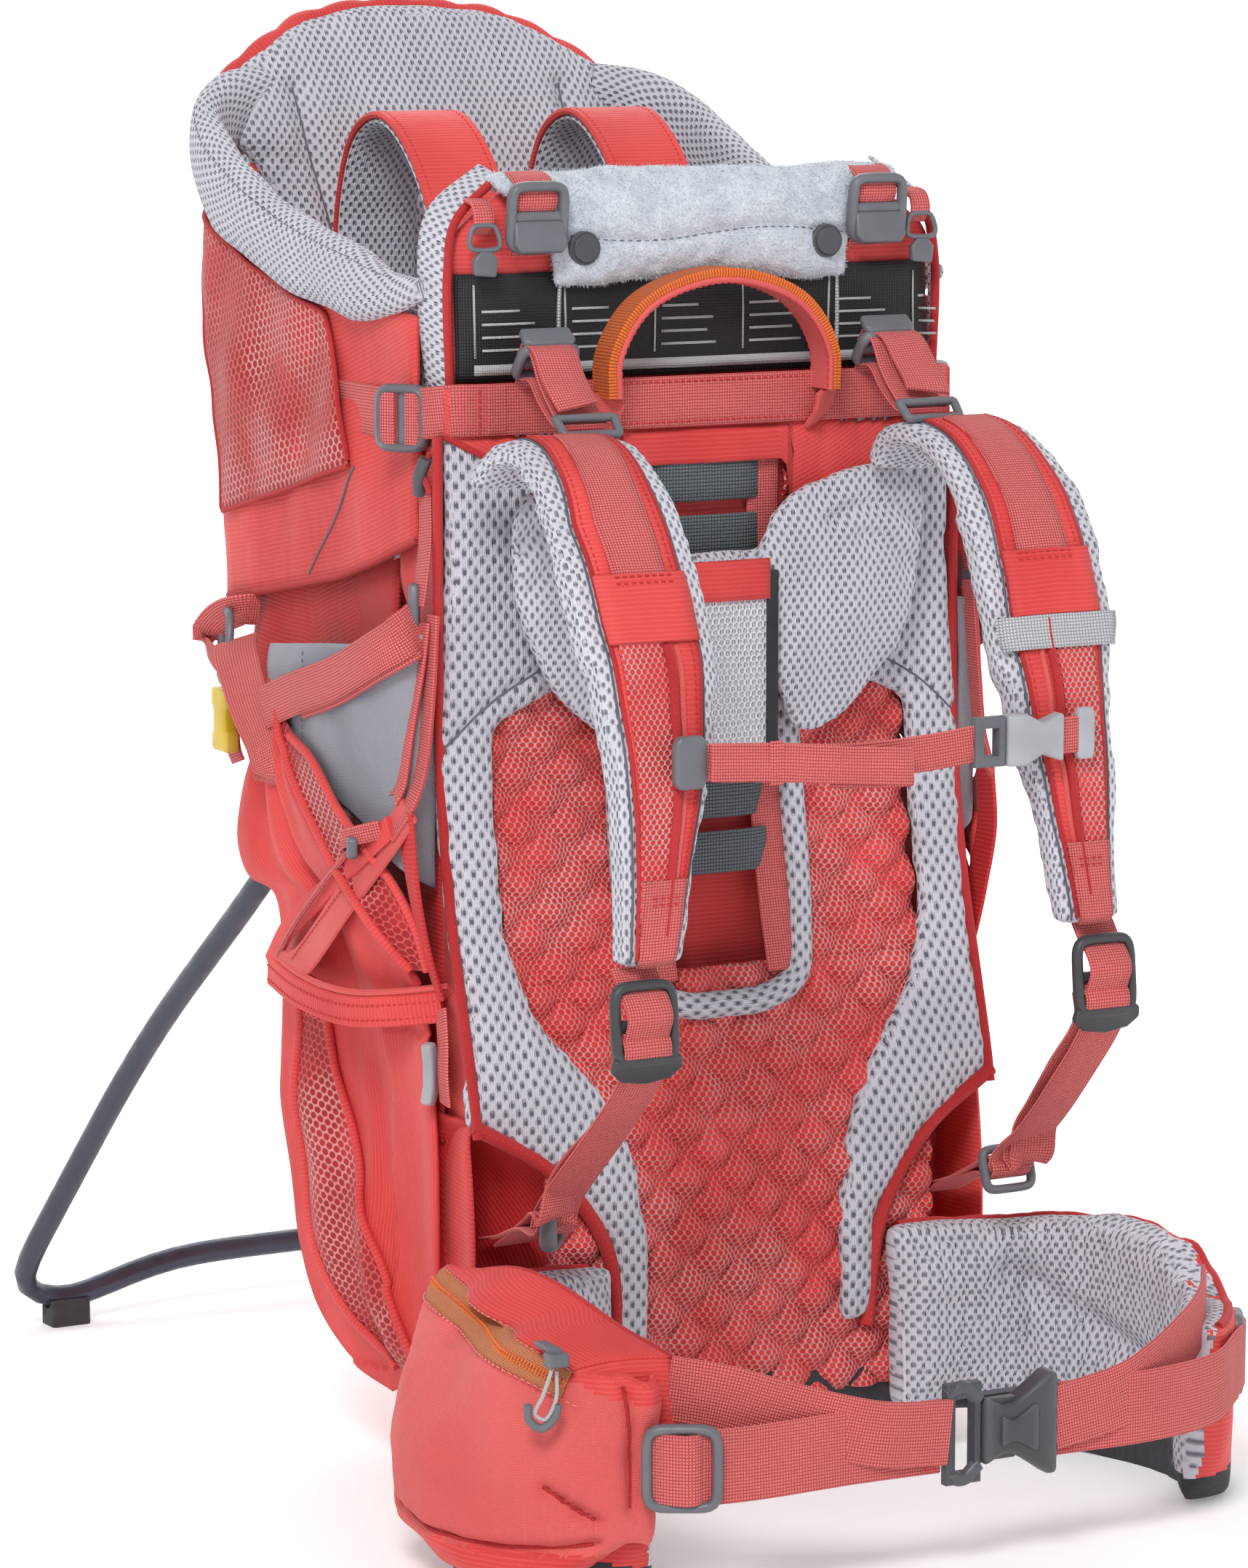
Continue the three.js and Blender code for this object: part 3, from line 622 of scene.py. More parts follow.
def between(edge_a, edge_b, rows, cols, bulge=None):
    """A grid of points between two lines."""
    a, b = resample(np.asarray(edge_a, float), cols), resample(np.asarray(edge_b, float), cols)
    t = np.linspace(0, 1, rows)[:, None, None]
    grid = a[None] * (1 - t) + b[None] * t
    if bulge is not None:
        crown = np.sin(math.pi * t) ** 0.7
        grid = grid + crown * np.asarray(bulge, float)
    return grid


def flat_grid(xs, zs):
    """A grid of points in the plane y = 0."""
    return np.array([[(x, 0, z) for x in xs] for z in zs], float)


def ruffle(grid, amount, scale, direction, seed=0.0, fade=True):
    """Adds soft folds to a grid of points, none at its first and last rows."""
    out = grid.copy()
    rows = grid.shape[0]
    for i in range(rows):
        hold = math.sin(math.pi * i / (rows - 1)) if fade else 1.0
        for j in range(grid.shape[1]):
            value = noise.noise(Vector(grid[i, j] / scale) + Vector((seed, seed, seed)))
            out[i, j] += np.asarray(direction) * value * amount * hold
    return out


def stitching(name, lines, body, material=None, step=3.4, radius=0.42):
    """Dashes of thread along lines, one each step, covering two thirds of it."""
    verts, faces, corners = [], [], []
    ring = ellipse(radius, radius, 5)
    size = np.array([0.3, 1, 1, 0.3])[:, None, None]
    for line in lines:
        count = max(2, int(length_of(line) / step))
        fine = resample(np.asarray(line, float), count * 3 + 1)
        for i in range(count):
            a, b = fine[3 * i], fine[3 * i + 2]
            run = np.array([a, a * 0.75 + b * 0.25, a * 0.25 + b * 0.75, b])
            rings = sweep(run, ring[None] * size)
            made, uv = grid_faces(4, 5, np.zeros((4, 6, 2)), True, True, len(verts))
            faces += made
            corners += uv
            verts += list(rings.reshape(-1, 3))
    return piece(name, np.array(verts), faces, corners, material or THREAD, body)


def drop_normals(obj):
    """Takes off the normals that came with the CAD, so that the smooth shading is the mesh's own."""
    for name in [a.name for a in obj.data.attributes if a.name == "custom_normal"]:
        obj.data.attributes.remove(obj.data.attributes[name])


def moulded(node, material, bevel=0.8):
    """A CAD node's own shape with rounded edges, as a smooth moulding; tubes are rounded instead."""
    obj = add_object("moulded_" + node, frame["nodes"][node].data.copy())
    bm = bmesh.new()
    bm.from_mesh(obj.data)
    bmesh.ops.remove_doubles(bm, verts=bm.verts, dist=MERGE_DISTANCE)
    if bevel:
        bmesh.ops.dissolve_limit(bm, angle_limit=math.radians(2), verts=bm.verts, edges=bm.edges)
    else:
        bmesh.ops.join_triangles(bm, faces=bm.faces, angle_face_threshold=0.7, angle_shape_threshold=1.6)
    bm.to_mesh(obj.data)
    bm.free()
    if bevel:
        round_edges(obj, bevel, 35)
    else:
        obj.modifiers.new("round", "SUBSURF").levels = 1
    bake(obj)
    drop_normals(obj)
    shade(obj, 38)
    dress(obj, [material])
    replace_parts(obj, node)
    return settle(obj, body_of(node))

# ---- Padded pieces -------------------------------------------------------------------------------------

SOFT = []  # (piece, cap on its swelling in mm, pressure)
SWELL_FRAMES = 20


def soft(node, voxel, cap, pressure=4.0):
    """A CAD soft solid as an even mesh of voxel-sized cells with rounded edges, waiting for swell_all()."""
    obj = add_object("soft_" + node, frame["nodes"][node].data.copy())
    drop_normals(obj)
    bm = bmesh.new()
    bm.from_mesh(obj.data)
    bmesh.ops.remove_doubles(bm, verts=bm.verts, dist=MERGE_DISTANCE)
    bm.to_mesh(obj.data)
    bm.free()
    remesh = obj.modifiers.new("even", "REMESH")
    remesh.mode = "VOXEL"
    remesh.voxel_size = voxel * MM
    soften = obj.modifiers.new("soften", "SMOOTH")
    soften.factor = 0.5
    soften.iterations = 4
    bake(obj)
    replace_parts(obj, node)
    SOFT.append((obj, cap, pressure))
    return obj


def swell_all():
    """Blows up every padded piece a little by cloth simulation, then rounds it once."""
    scene = bpy.context.scene
    for obj, cap, pressure in SOFT:
        cloth = obj.modifiers.new("swell", "CLOTH")
        cloth.settings.quality = 4
        cloth.settings.mass = 0.3
        cloth.settings.use_pressure = True
        cloth.settings.uniform_pressure_force = pressure
        cloth.settings.effector_weights.gravity = 0
        cloth.point_cache.frame_start = 1
        cloth.point_cache.frame_end = SWELL_FRAMES
    for step in range(1, SWELL_FRAMES + 1):
        scene.frame_set(step)
    depsgraph = bpy.context.evaluated_depsgraph_get()
    moved = {}
    for obj, cap, pressure in SOFT:
        moved[obj.name] = corners_of(obj.evaluated_get(depsgraph).data)
    for obj, cap, pressure in SOFT:
        obj.modifiers.clear()
        rest = corners_of(obj.data)
        move = moved[obj.name] - rest
        size = np.linalg.norm(move, axis=1, keepdims=True)
        reach = cap * np.tanh(size / cap)
        set_points(obj, rest + move / np.maximum(size, 1e-9) * reach)
    for obj, cap, pressure in SOFT:
        obj.modifiers.new("round", "SUBSURF").levels = 1
        bake(obj)
        obj.data.shade_smooth()


def set_points(obj, points):
    obj.data.vertices.foreach_set("co", to_row(points).astype(np.float32).ravel())
    obj.data.update()


def normals_of(obj):
    """Vertex normals in the carrier's frame."""
    n = np.array([v.normal for v in obj.data.vertices], float)
    return n @ TILT


def loops_of(obj):
    """Each face corner's vertex and face, and the faces' normals."""
    mesh = obj.data
    vertex = np.empty(len(mesh.loops), np.int32)
    mesh.loops.foreach_get("vertex_index", vertex)
    size = np.array([len(p.vertices) for p in mesh.polygons])
    return vertex, np.repeat(np.arange(len(size)), size), faces_of(obj)[1]


def chart(obj, path=None, axes=(0, 1)):
    """UVs in millimetres: flat along each axis, or along a path in the plane of two axes and up the third."""
    co = corners_of(obj.data)
    vertex, face, normal = loops_of(obj)
    facing = np.abs(normal).argmax(1)[face]
    p = co[vertex]
    u = np.where(facing == 0, p[:, 1], p[:, 0])
    v = np.where(facing == 2, p[:, 1], p[:, 2])
    if path is not None:
        line = smooth(path, 160)
        along = np.r_[0, np.cumsum(np.linalg.norm(np.diff(line, axis=0), axis=1))]
        gap = np.linalg.norm(co[:, None, list(axes)] - line[None], axis=2)
        nearest = gap.argmin(1)
        other = 3 - sum(axes)
        onto_edge = (np.abs(normal[:, other]) > 0.7)[face]
        depth = gap.min(1)[vertex]
        u = along[nearest][vertex]
        v = p[:, other] + np.where(onto_edge, depth, 0)
    if path is not None and 0 not in axes:
        u, v = v, u
    layer = obj.data.uv_layers.get("cloth") or obj.data.uv_layers.new(name="cloth")
    layer.data.foreach_set("uv", np.stack([u, v], 1).astype(np.float32).ravel())


def cover(obj, material, body):
    """One cloth over a whole padded piece."""
    chart(obj)
    dress(obj, [material])
    settle(obj, body)


def paint(obj, materials, rule):
    """Gives each face one of the materials, by rule(face centres in mm, face normals)."""
    dress(obj, materials)
    obj.data.polygons.foreach_set("material_index", rule(*faces_of(obj)).astype(np.int32))


def crease(obj, line, depth, width):
    """Presses a sewn channel into a padded piece along a line."""
    co = corners_of(obj.data)
    line = np.asarray(line, float)
    gap = np.full(len(co), 1e9)
    for point in resample(line, max(8, int(len(line) * 2))):
        gap = np.minimum(gap, np.linalg.norm(co - point, axis=1))
    set_points(obj, co - normals_of(obj) * (depth * np.exp(-((gap / width) ** 2)))[:, None])


def rumple(obj, amount, scale, seed=0.0):
    """Soft unevenness over a padded piece."""
    co = corners_of(obj.data)
    lift = [noise.noise(Vector(p / scale) + Vector((seed, 0, 0))) * amount for p in co]
    set_points(obj, co + normals_of(obj) * np.array(lift)[:, None])


class Skin:
    """The outside of pieces that others are laid on."""

    def __init__(self, *objs):
        verts, faces, start = [], [], 0
        for obj in objs:
            verts += corners_of(obj.data).tolist()
            faces += [[start + i for i in p.vertices] for p in obj.data.polygons]
            start += len(obj.data.vertices)
        self.tree = BVHTree.FromPolygons(verts, faces)

    def lay(self, points, out, lift=0.6, reach=40.0):
        """Points moved along -out onto the skin, standing lift off it."""
        points = np.asarray(points, float)
        flat = points.reshape(-1, 3)
        out = np.broadcast_to(unit(out), points.shape).reshape(-1, 3)
        laid = flat.copy()
        for i, (point, way) in enumerate(zip(flat, out)):
            hit = self.tree.ray_cast(Vector(point + way * reach), Vector(-way), 2 * reach)[0]
            laid[i] = (np.array(hit) if hit else point) + way * lift
        return laid.reshape(points.shape)


def lock(node, material, run, wall, extra, face=None, long=None):
    """A webbing adjuster in its CAD node's place: a rounded frame and a bar across the webbing's run."""
    co = corners_of(frame["nodes"][node].data)
    centre = (co.min(0) + co.max(0)) / 2
    thin = np.linalg.eigh(np.cov((co - co.mean(0)).T))[1].T[0] if face is None else unit(face)
    run = unit(run - thin * (thin @ run))
    across = np.cross(run, thin)
    width, length, thick = (np.ptp((co - centre) @ a) for a in (across, run, thin))
    length, thick = long or length, min(thick, 6.0)
    angle = np.linspace(0, 2 * math.pi, 61)[:, None]

    def reach(direction, span, turn):
        """One direction's part of a rectangle with rounded corners."""
        return direction[None] * (span - wall) / 2 * np.sign(turn) * np.abs(turn) ** 0.35

    ring = resample(centre + reach(across, width, np.cos(angle)) + reach(run, length, np.sin(angle)), 61)[:-1]
    section = ellipse(thick / 2 * extra, wall / 2, 10)
    obj = tube_piece("lock_" + node, sweep(ring, section, thin, closed=True), material, None, closed=True)
    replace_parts(obj, node)
    settle(obj, body_of(node))
    line = np.linspace(centre - across * (width / 2 - 2), centre + across * (width / 2 - 2), 5)
    tube_piece(f"lock_{node}_bar", sweep(line, ellipse(1.7, 2.8, 12), thin), material, body_of(node))
    return centre


def plate(name, outline, place, u_axis, v_axis, thick, material, body, bevel=1.2, replaces=()):
    """A flat moulding from an outline, with rounded edges."""
    outline = np.asarray(outline, float)
    u_axis, v_axis = unit(u_axis), unit(v_axis)
    w_axis = np.cross(u_axis, v_axis)
    count = len(outline)
    flat = np.asarray(place) + outline[:, :1] * u_axis + outline[:, 1:] * v_axis
    verts = np.vstack([flat - w_axis * thick / 2, flat + w_axis * thick / 2])
    faces = [list(range(count))[::-1], [count + i for i in range(count)]]
    faces += [[i, (i + 1) % count, count + (i + 1) % count, count + i] for i in range(count)]
    corners = [verts[i][[0, 2]] for f in faces for i in f]
    obj = piece(name, verts, faces, corners, material)
    round_edges(obj, bevel, 50)
    bake(obj)
    shade(obj, 40)
    if replaces:
        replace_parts(obj, *replaces)
    return settle(obj, body)


def lip(name, place, width, height, body, material, lean=0.3):
    """The solid thumb plate of a ladder lock, leaning forward at its lower edge."""
    half, top = width / 2, height / 2
    shape = [(-half * 0.8, -top), (half * 0.8, -top), (half, -top * 0.5), (half * 0.94, top),
             (-half * 0.94, top), (-half, -top * 0.5)]
    plate(name, shape, place, X, Z - lean * -Y, 4.2, material, body, 1.4)

# ---- Hard parts ----------------------------------------------------------------------------------------


def hard_parts():
    moulded("base_bar", DARK_PLASTIC, 1.5)
    moulded("back_board", BOARD, 0.8)
    moulded("cross_bar", BARE_METAL, 0.0)
    moulded("frame_tube", BARE_METAL, 0.0)
    moulded("kickstand_tube", STAND_PAINT, 0.0)
    for side in ("right", "left"):
        moulded("stand_bracket_" + side, DARK_PLASTIC, 1.5)
        moulded("stand_foot_" + side, RUBBER, 1.0)
        moulded("stand_pin_" + side, BARE_METAL, 0.6)
        moulded("snap_button_" + side, DARK_PLASTIC, 0.8)


# ---- Back panel ----------------------------------------------------------------------------------------

FACE = [(0, 0, 538), (0, 0, 400), (0, -2, 360), (0, -12, 300), (0, -26, 250), (0, -38, 205), (0, -45, 150),
        (0, -44, 84)]
FACE_LINE = smooth(FACE, 120)
SLOT_HALF = 46
SLOT_BOTTOM = 250


def face_y(z):
    """The panel's front face at a height."""
    return np.interp(z, FACE_LINE[::-1, 2], FACE_LINE[::-1, 1])


def on_face(points, lift=0.0):
    """Points (x, z) on the panel's front face."""
    p = np.asarray(points, float)
    return np.stack([p[:, 0], face_y(p[:, 1]) - lift, p[:, 1]], 1)


def foam_net(name, half, low, high, inner=None):
    """Net pulled over foam with a diamond pattern of dimples."""
    step, pillow_height = 2.1, 7.0
    xs = np.arange(-half, half + step, step) if inner is None else np.linspace(inner, half, 20)
    zs = np.arange(low, high + step, step)
    gx, gz = np.meshgrid(xs, zs)
    a, b = gx / 14.0 + gz / 13.0, gx / 14.0 - gz / 13.0
    pillow = np.abs(np.sin(a * math.pi / 2) * np.sin(b * math.pi / 2)) ** 0.8
    wander = np.array([[noise.noise(Vector((x / 40, 0, z / 40))) for x in xs] for z in zs])
    grid = np.stack([gx, face_y(gz) + 9.5 - pillow_height * pillow - 1.5 * wander, gz], 2)
    return sheet(name, grid, NET, "carrier", 1.2, np.stack([gx, gz], 2))


def back_panel():
    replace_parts(foam_net("foam_net_lower", 104, 56, SLOT_BOTTOM + 14), "back_core")
    # Dark cloth closes the panel below the net.
    under = np.array([[(x, y + 0.0006 * x * x, z) for x in np.linspace(-104, 104, 40)]
                      for y, z in ((-35, 70), (-38, 60), (-36, 46), (-26, 34), (-8, 28), (16, 27))])
    sheet("panel_apron", under, DARK_CLOTH, "carrier", 2.4)
    for side, sign in SIDES:
        foam_net("foam_net_" + side, sign * 112, SLOT_BOTTOM + 6, 500, inner=sign * SLOT_HALF)
    # Spacer mesh piping round the slot.
    low = SLOT_BOTTOM
    bend = [(SLOT_HALF, 466), (SLOT_HALF, 400), (SLOT_HALF, low + 34), (40, low + 9), (22, low), (0, low - 1)]
    path = bend + [(-x, z) for x, z in bend[-2::-1]]
    line = smooth(on_face(path, -4), 120)
    rings = sweep(line, ellipse(6.5, 5.5, 12))
    tube_piece("slot_piping", rings, SPACER, "carrier")
    # The slot's lining, its side webbings and the rungs of the adjusting ladder.
    top = extent("adjust_ladder")[1][2]
    rows = np.linspace(low - 4, top, 60)
    lining = flat_grid(np.linspace(-48, 48, 12), rows)
    lining[..., 1] = np.maximum(face_y(lining[..., 2]) + 7.5, 5.0) - 1.2 * np.sin(lining[..., 2] / 23)
    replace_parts(sheet("slot_lining", lining, RIPSTOP, "carrier", 1.4), "adjust_ladder")
    for side, sign in SIDES:
        band = [(sign * 33, face_y(z) + 2.5, z) for z in np.linspace(top, low + 12, 12)]
        strap("slot_webbing_" + side, band, X, "carrier", 17, 1.6)
    for i, z in enumerate((498, 471, 346, 320)):
        y = face_y(z) + 1.5
        rung = [(-31, y + 1.5, z), (-24, y - 1.2, z), (0, y - 2.4, z), (24, y - 1.2, z), (31, y + 1.5, z)]
        strap(f"ladder_rung_{i}", rung, Z, "carrier", 20.5, 1.8, RUNG_WEBBING)
    # Side walls of the panel, from the pads' edges back to the bag, with a bound edge.
    for side, sign in SIDES:
        zs = np.linspace(84, 522, 70)
        front = np.array([(sign * 139, face_y(z) + 4 if z > 200 else face_y(z) + 14, z) for z in zs])
        depth = np.interp(zs, [80, 290, 320, 415, 450], [56, 56, 20, 20, 50])
        back = np.array([(sign * 135, y, z) for y, z in zip(depth, zs)])
        grid = ruffle(between(front, back, 12, 70, (sign * -3, 0, 0)), 3.0, 45, (sign, 0, 0), sign)
        sheet("panel_side_" + side, grid.transpose(1, 0, 2), RIPSTOP, "carrier", 1.8)
        edge = np.array([(sign * 139.5, face_y(z) + 2, z) for z in np.linspace(200, 524, 60)])
        piping("panel_piping_" + side, edge, 2.6, "carrier")
        corner_panel(side, sign)


def corner_panel(side, sign):
    """The red panel between a pad's slanting edge and the hip fin."""
    slant = smooth([(139, 206), (99, 180), (73, 142), (66, 88)], 30)
    inner = np.array([(sign * x, face_y(z) + 7, z) for x, z in slant])
    outer = smooth([(139, 204), (139.5, 170), (138, 120), (134, 76)], 30)
    outer = np.array([(sign * x, 2 + 0.1 * (z - 80), z) for x, z in outer])
    grid = ruffle(between(inner, outer, 16, 30, (0, 3, 0)), 3.5, 38, (0, 1, 0), 3 * sign)
    # The shaded ripstop copy: painted shade on this recessed panel.
    sheet("corner_panel_" + side, grid, SHADED_RIPSTOP, "carrier", 1.8)
    line = np.array([(sign * (x + 2), face_y(z) + 2.5, z) for x, z in slant])
    piping("corner_piping_" + side, line, 3.6, "carrier")
    stitching("corner_stitches_" + side, [line - Y * 3.4], "carrier")
    rim = outer - Y
    piping("corner_edge_" + side, rim, 2.4, "carrier")


def back_pads():
    for side, sign in SIDES:
        obj = soft_back[side]
        set_points(obj, corners_of(obj.data) * np.array([1.03, 1, 1]))
        seam = mirrored(on_face([(60, 424), (95, 409), (118, 396), (139, 378)], 0), sign)
        seam = Skin(obj).lay(smooth(seam, 40), -Y, 0)
        crease(obj, seam, 2.2, 3.5)
        cover(obj, SPACER, "carrier")
        seam = Skin(obj).lay(seam, -Y, 0.1)
        piping("pad_seam_" + side, seam, 0.55, "carrier", GREY_THREAD, sides=6)

# ---- Top front panel -----------------------------------------------------------------------------------


def headboard():
    board = soft_top
    set_points(board, corners_of(board.data) * np.array([1.07, 1, 1]))
    rumple(board, 1.2, 30)
    cover(board, RIPSTOP, "carrier")
    sign_panel(Skin(board))
    # The mesh between the board's edge and the cockpit, up to the board's slanting corner.
    inner = [(130, 8, 538), (131, 8, 600), (126, 10, 622), (103, 13, 642)]
    outer = [(134, 21, 538), (138, 24, 590), (133, 25, 626), (105, 27, 647)]
    for side, sign in SIDES:
        edges = [smooth(mirrored(edge, sign), 30) for edge in (inner, outer)]
        sheet("board_side_" + side, between(*edges, 8, 30, (0, -3, 0)), FINE_SPACER, "carrier", 2.0)
        piping("board_edge_" + side, edges[0], 2.2, "carrier")
    front_webbing()
    front_cloth()


def sign_panel(board):
    """The blank sign with plain dividers, rules and an empty strip, and a lace at each end."""
    lo, hi = extent("sign_panel")
    lo[0] -= 6
    hi[0] += 5
    grid = board.lay(flat_grid(np.linspace(lo[0], hi[0], 70), np.linspace(lo[2], hi[2], 14)), -Y, 1.4)
    grid[..., 1] -= 0.8 + 0.8 * np.sin(grid[..., 0] / 17 + grid[..., 2] / 40)
    obj = sheet("sign", grid, SIGN, "carrier", 1.0)
    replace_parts(obj, "sign_panel")
    skin = Skin(obj)

    def mark(name, x0, x1, z0, z1):
        xs = np.linspace(x0, x1, max(2, int((x1 - x0) / 4)))
        cells = flat_grid(xs, np.linspace(z0, z1, 3))
        sheet(name, skin.lay(cells, -Y, 0.35), SIGN_MARK, "carrier", 0.3)

    mark("sign_strip", lo[0] + 8, hi[0] - 8, lo[2] + 3, lo[2] + 8)
    for i, x in enumerate(np.linspace(lo[0] + 8, hi[0] - 9, 6)):
        mark(f"sign_divider_{i}", x, x + 0.9, lo[2] + 11, hi[2] - 5)
        for k, share in enumerate((0.9, 0.75, 0.85, 0.6)):
            length = 32 * share * min(1, (hi[0] - 8 - x) / 40 + 0.2)
            low = lo[2] + 14 + 6 * k
            mark(f"sign_rule_{i}_{k}", x + 4, x + 4 + length, low, low + 1.2)
    for side, sign in SIDES:
        lace = [(74, 4.5, hi[2] + 4), (75, 4.8, (lo[2] + hi[2]) / 2), (74, 4.5, lo[2] - 4)]
        cord("sign_lace_" + side, mirrored(lace, sign), 1.0, "carrier", ELASTIC)


def front_webbing():
    """One run of webbing crosses the front and turns back along each side."""
    run = [(-139.8, 150, 531), (-140.6, 90, 531), (-141, 40, 532), (-140, 14, 534), (-132, 0, 536),
           (-118, -3.5, 536), (0, -3.5, 536)]
    run += [(-x, y, z) for x, y, z in run[-2::-1]]
    strap("front_webbing", run, Z, "carrier", 24, 1.7)
    for side, sign in SIDES:
        tacks = [[(sign * x, -4.9, z) for z in np.linspace(525, 547, 6)] for x in (112, 121, 66, 70)]
        stitching("webbing_tacks_" + side, tacks, "carrier")
        patch = [(sign * 117, -5.3, 536), (sign * 108, -5.3, 536)]
        strap("webbing_patch_" + side, patch, Z, "carrier", 22, 1.2)
    rows = [[(x, -4.8, z) for x in np.linspace(-60, 60, 30)] for z in (526.5, 545.5)]
    stitching("webbing_stitches", rows, "carrier")


def front_cloth():
    """Red cloth below the webbing, its lower edge sloping down to the slot over the back pads."""
    xs = np.linspace(-136, 136, 90)
    low = np.interp(np.abs(xs), [44, 47, 60, 96, 136], [506, 476, 482, 503, 524])
    cloth = flat_grid(xs, np.zeros(20))
    cloth[..., 2] = low + (546 - low) * np.linspace(0, 1, 20)[:, None]
    front = Skin(soft_back["right"], soft_back["left"]).lay(cloth, -Y, 1.6, 30)
    cloth[..., 1] = np.minimum(np.where(cloth[..., 2] < 522, front[..., 1], 1.0), 1.0)
    cloth[..., 1] += 0.6 * np.sin(cloth[..., 0] / 9 + cloth[..., 2] / 31)
    sheet("front_yoke_cloth", cloth, RIPSTOP, "carrier", 1.6)
    for side, sign in SIDES:
        piping("front_yoke_hem_" + side, cloth[0][xs * sign > 47], 1.5, "carrier")


def drool_pad():
    obj = soft_drool
    co = corners_of(obj.data)
    co[:, 0] *= 1 + 0.36 * np.clip((co[:, 2] - 622) / 14, 0, 1)
    set_points(obj, co)
    rumple(obj, 2.0, 22)
    skin = Skin(obj)
    seam = skin.lay([(x, -2, 614 + 2.5 * math.sin(x / 21)) for x in np.linspace(-80, 80, 60)], -Y, 0)
    crease(obj, seam, 2.4, 3.0)
    rumple(obj, 0.7, 4.5)
    cover(obj, PLUSH, "carrier")
    seam = Skin(obj).lay(seam, -Y, -0.1)
    stitching("drool_seam", [seam], "carrier", GREY_THREAD, 4.2, 0.45)
    fibres(obj, 26000, 1.7)


def fibres(obj, count, length):
    """Short hairs of a pile, standing on the faces of a piece."""
    rng = np.random.default_rng(4)
    centre, normal = faces_of(obj)
    area = np.array([p.area for p in obj.data.polygons])
    pick = rng.choice(len(area), count, p=area / area.sum())
    foot = centre[pick] + rng.normal(0, 1.2, (count, 3)) * (1 - np.abs(normal[pick]))
    lean = unit(normal[pick] + rng.normal(0, 0.45, (count, 3)) + np.array([0.25, 0, -0.35]))
    wide = unit(np.cross(lean, rng.normal(0, 1, (count, 3)))) * 0.2
    tip = foot + lean * length * rng.uniform(0.6, 1.1, (count, 1))
    foot = foot - normal[pick] * 0.4
    verts = np.stack([foot - wide, foot + wide, tip], 1).reshape(-1, 3)
    faces = np.arange(3 * count).reshape(-1, 3).tolist()
    mesh = bpy.data.meshes.new("plush_pile")
    mesh.from_pydata(to_row(verts).tolist(), [], faces)
    pile = add_object("plush_pile", mesh)
    dress(pile, [PLUSH])
    settle(pile, "carrier")


def top_hardware():
    for side, sign in SIDES:
        x, y, z = lock("top_lock_" + side, GREY_PLASTIC, Z, 5.0, 1.3, long=34)
        lip("top_lip_" + side, (x, y - 2.5, z - 9), 27, 15, "carrier", GREY_PLASTIC)
        loop = [(x, 10, z + 20), (x, 2, z + 18), (x, -4, z + 13), (x, -5.5, z + 8), (x, -2.5, z + 1),
                (x, 1.5, z - 8), (x, 3, z - 18)]
        strap("top_webbing_" + side, loop, X, "carrier", 21, 1.7)
        inner = [(x, 9, z + 14), (x, 4, z + 11), (x, 2.6, z + 6), (x, 4, z), (x, 6, z - 8)]
        strap("top_webbing_inner_" + side, inner, X, "carrier", 20, 1.6)
        # The hook beside it, on a short loop.
        hx = sign * 117
        strap("hook_loop_" + side, [(hx, 9, 632), (hx, 1, 630), (hx, -2, 622), (hx, 3, 617)], X, "carrier",
              11, 1.8)
        ring = [(hx - 5.5, -2, 620), (hx - 7.5, -3, 611), (hx, -3.4, 609.5), (hx + 7.5, -3, 611),
                (hx + 5.5, -2, 620), (hx, -2, 621)]
        cord("hook_ring_" + side, ring, 1.3, "carrier", GREY_PLASTIC, 40, True)
        plate("hook_" + side, [(-6, -5), (5, -6), (6, 2), (3, 6), (-3, 6), (-6.5, 2)], (hx, -3.5, 603), X,
              Z, 4, GREY_PLASTIC, "carrier")
        lifter(side, sign)


def lifter(side, sign):
    """The load lifter: its lock on the headboard, and its webbing down to the top of the shoulder strap."""
    x = lock("lifter_lock_" + side, GREY_PLASTIC, Z, 5.0, 1.5)[0]
    bend = ("carrier", "harness", (0, -14, 556), (0, -44, 534))
    base = [(x, 3, 538), (x, -4, 545), (x, -8, 558), (x, -12, 567), (x, -17, 566)]
    strap("lifter_base_" + side, base, X, "carrier", 24, 1.7)
    front = [(x, -8, 562), (x, -16, 567), (x, -22, 561), (x, -29, 550), (x, -38, 541), (x, -47, 534),
             (x, -53, 531)]
    strap("lifter_front_" + side, front, X, bend, 25, 1.7)
    back = [(x, -10, 550), (x, -18, 550), (x, -28, 541), (x, -38, 534), (x, -48, 530), (x, -53, 531)]
    strap("lifter_back_" + side, back, X, bend, 24, 1.7)
    tail = [(x + sign, -14, 566), (x + 2 * sign, -25, 564), (x + 3 * sign, -36, 553),
            (x + 3 * sign, -46, 544), (x + 2 * sign, -50, 540)]
    strap("lifter_tail_" + side, tail, X, bend, 23, 1.6)
    lip("lifter_lip_" + side, (x, -15, 569), 27, 11, "carrier", GREY_PLASTIC, 1.2)
    ring = [(x - 15, -52, 535), (x + 15, -52, 535), (x + 14, -60, 528), (x - 14, -60, 528)]
    cord("lifter_ring_" + side, resample(np.array(ring + ring[:1], float), 41)[:-1], 2.1, "harness",
         GREY_PLASTIC, 60, True)


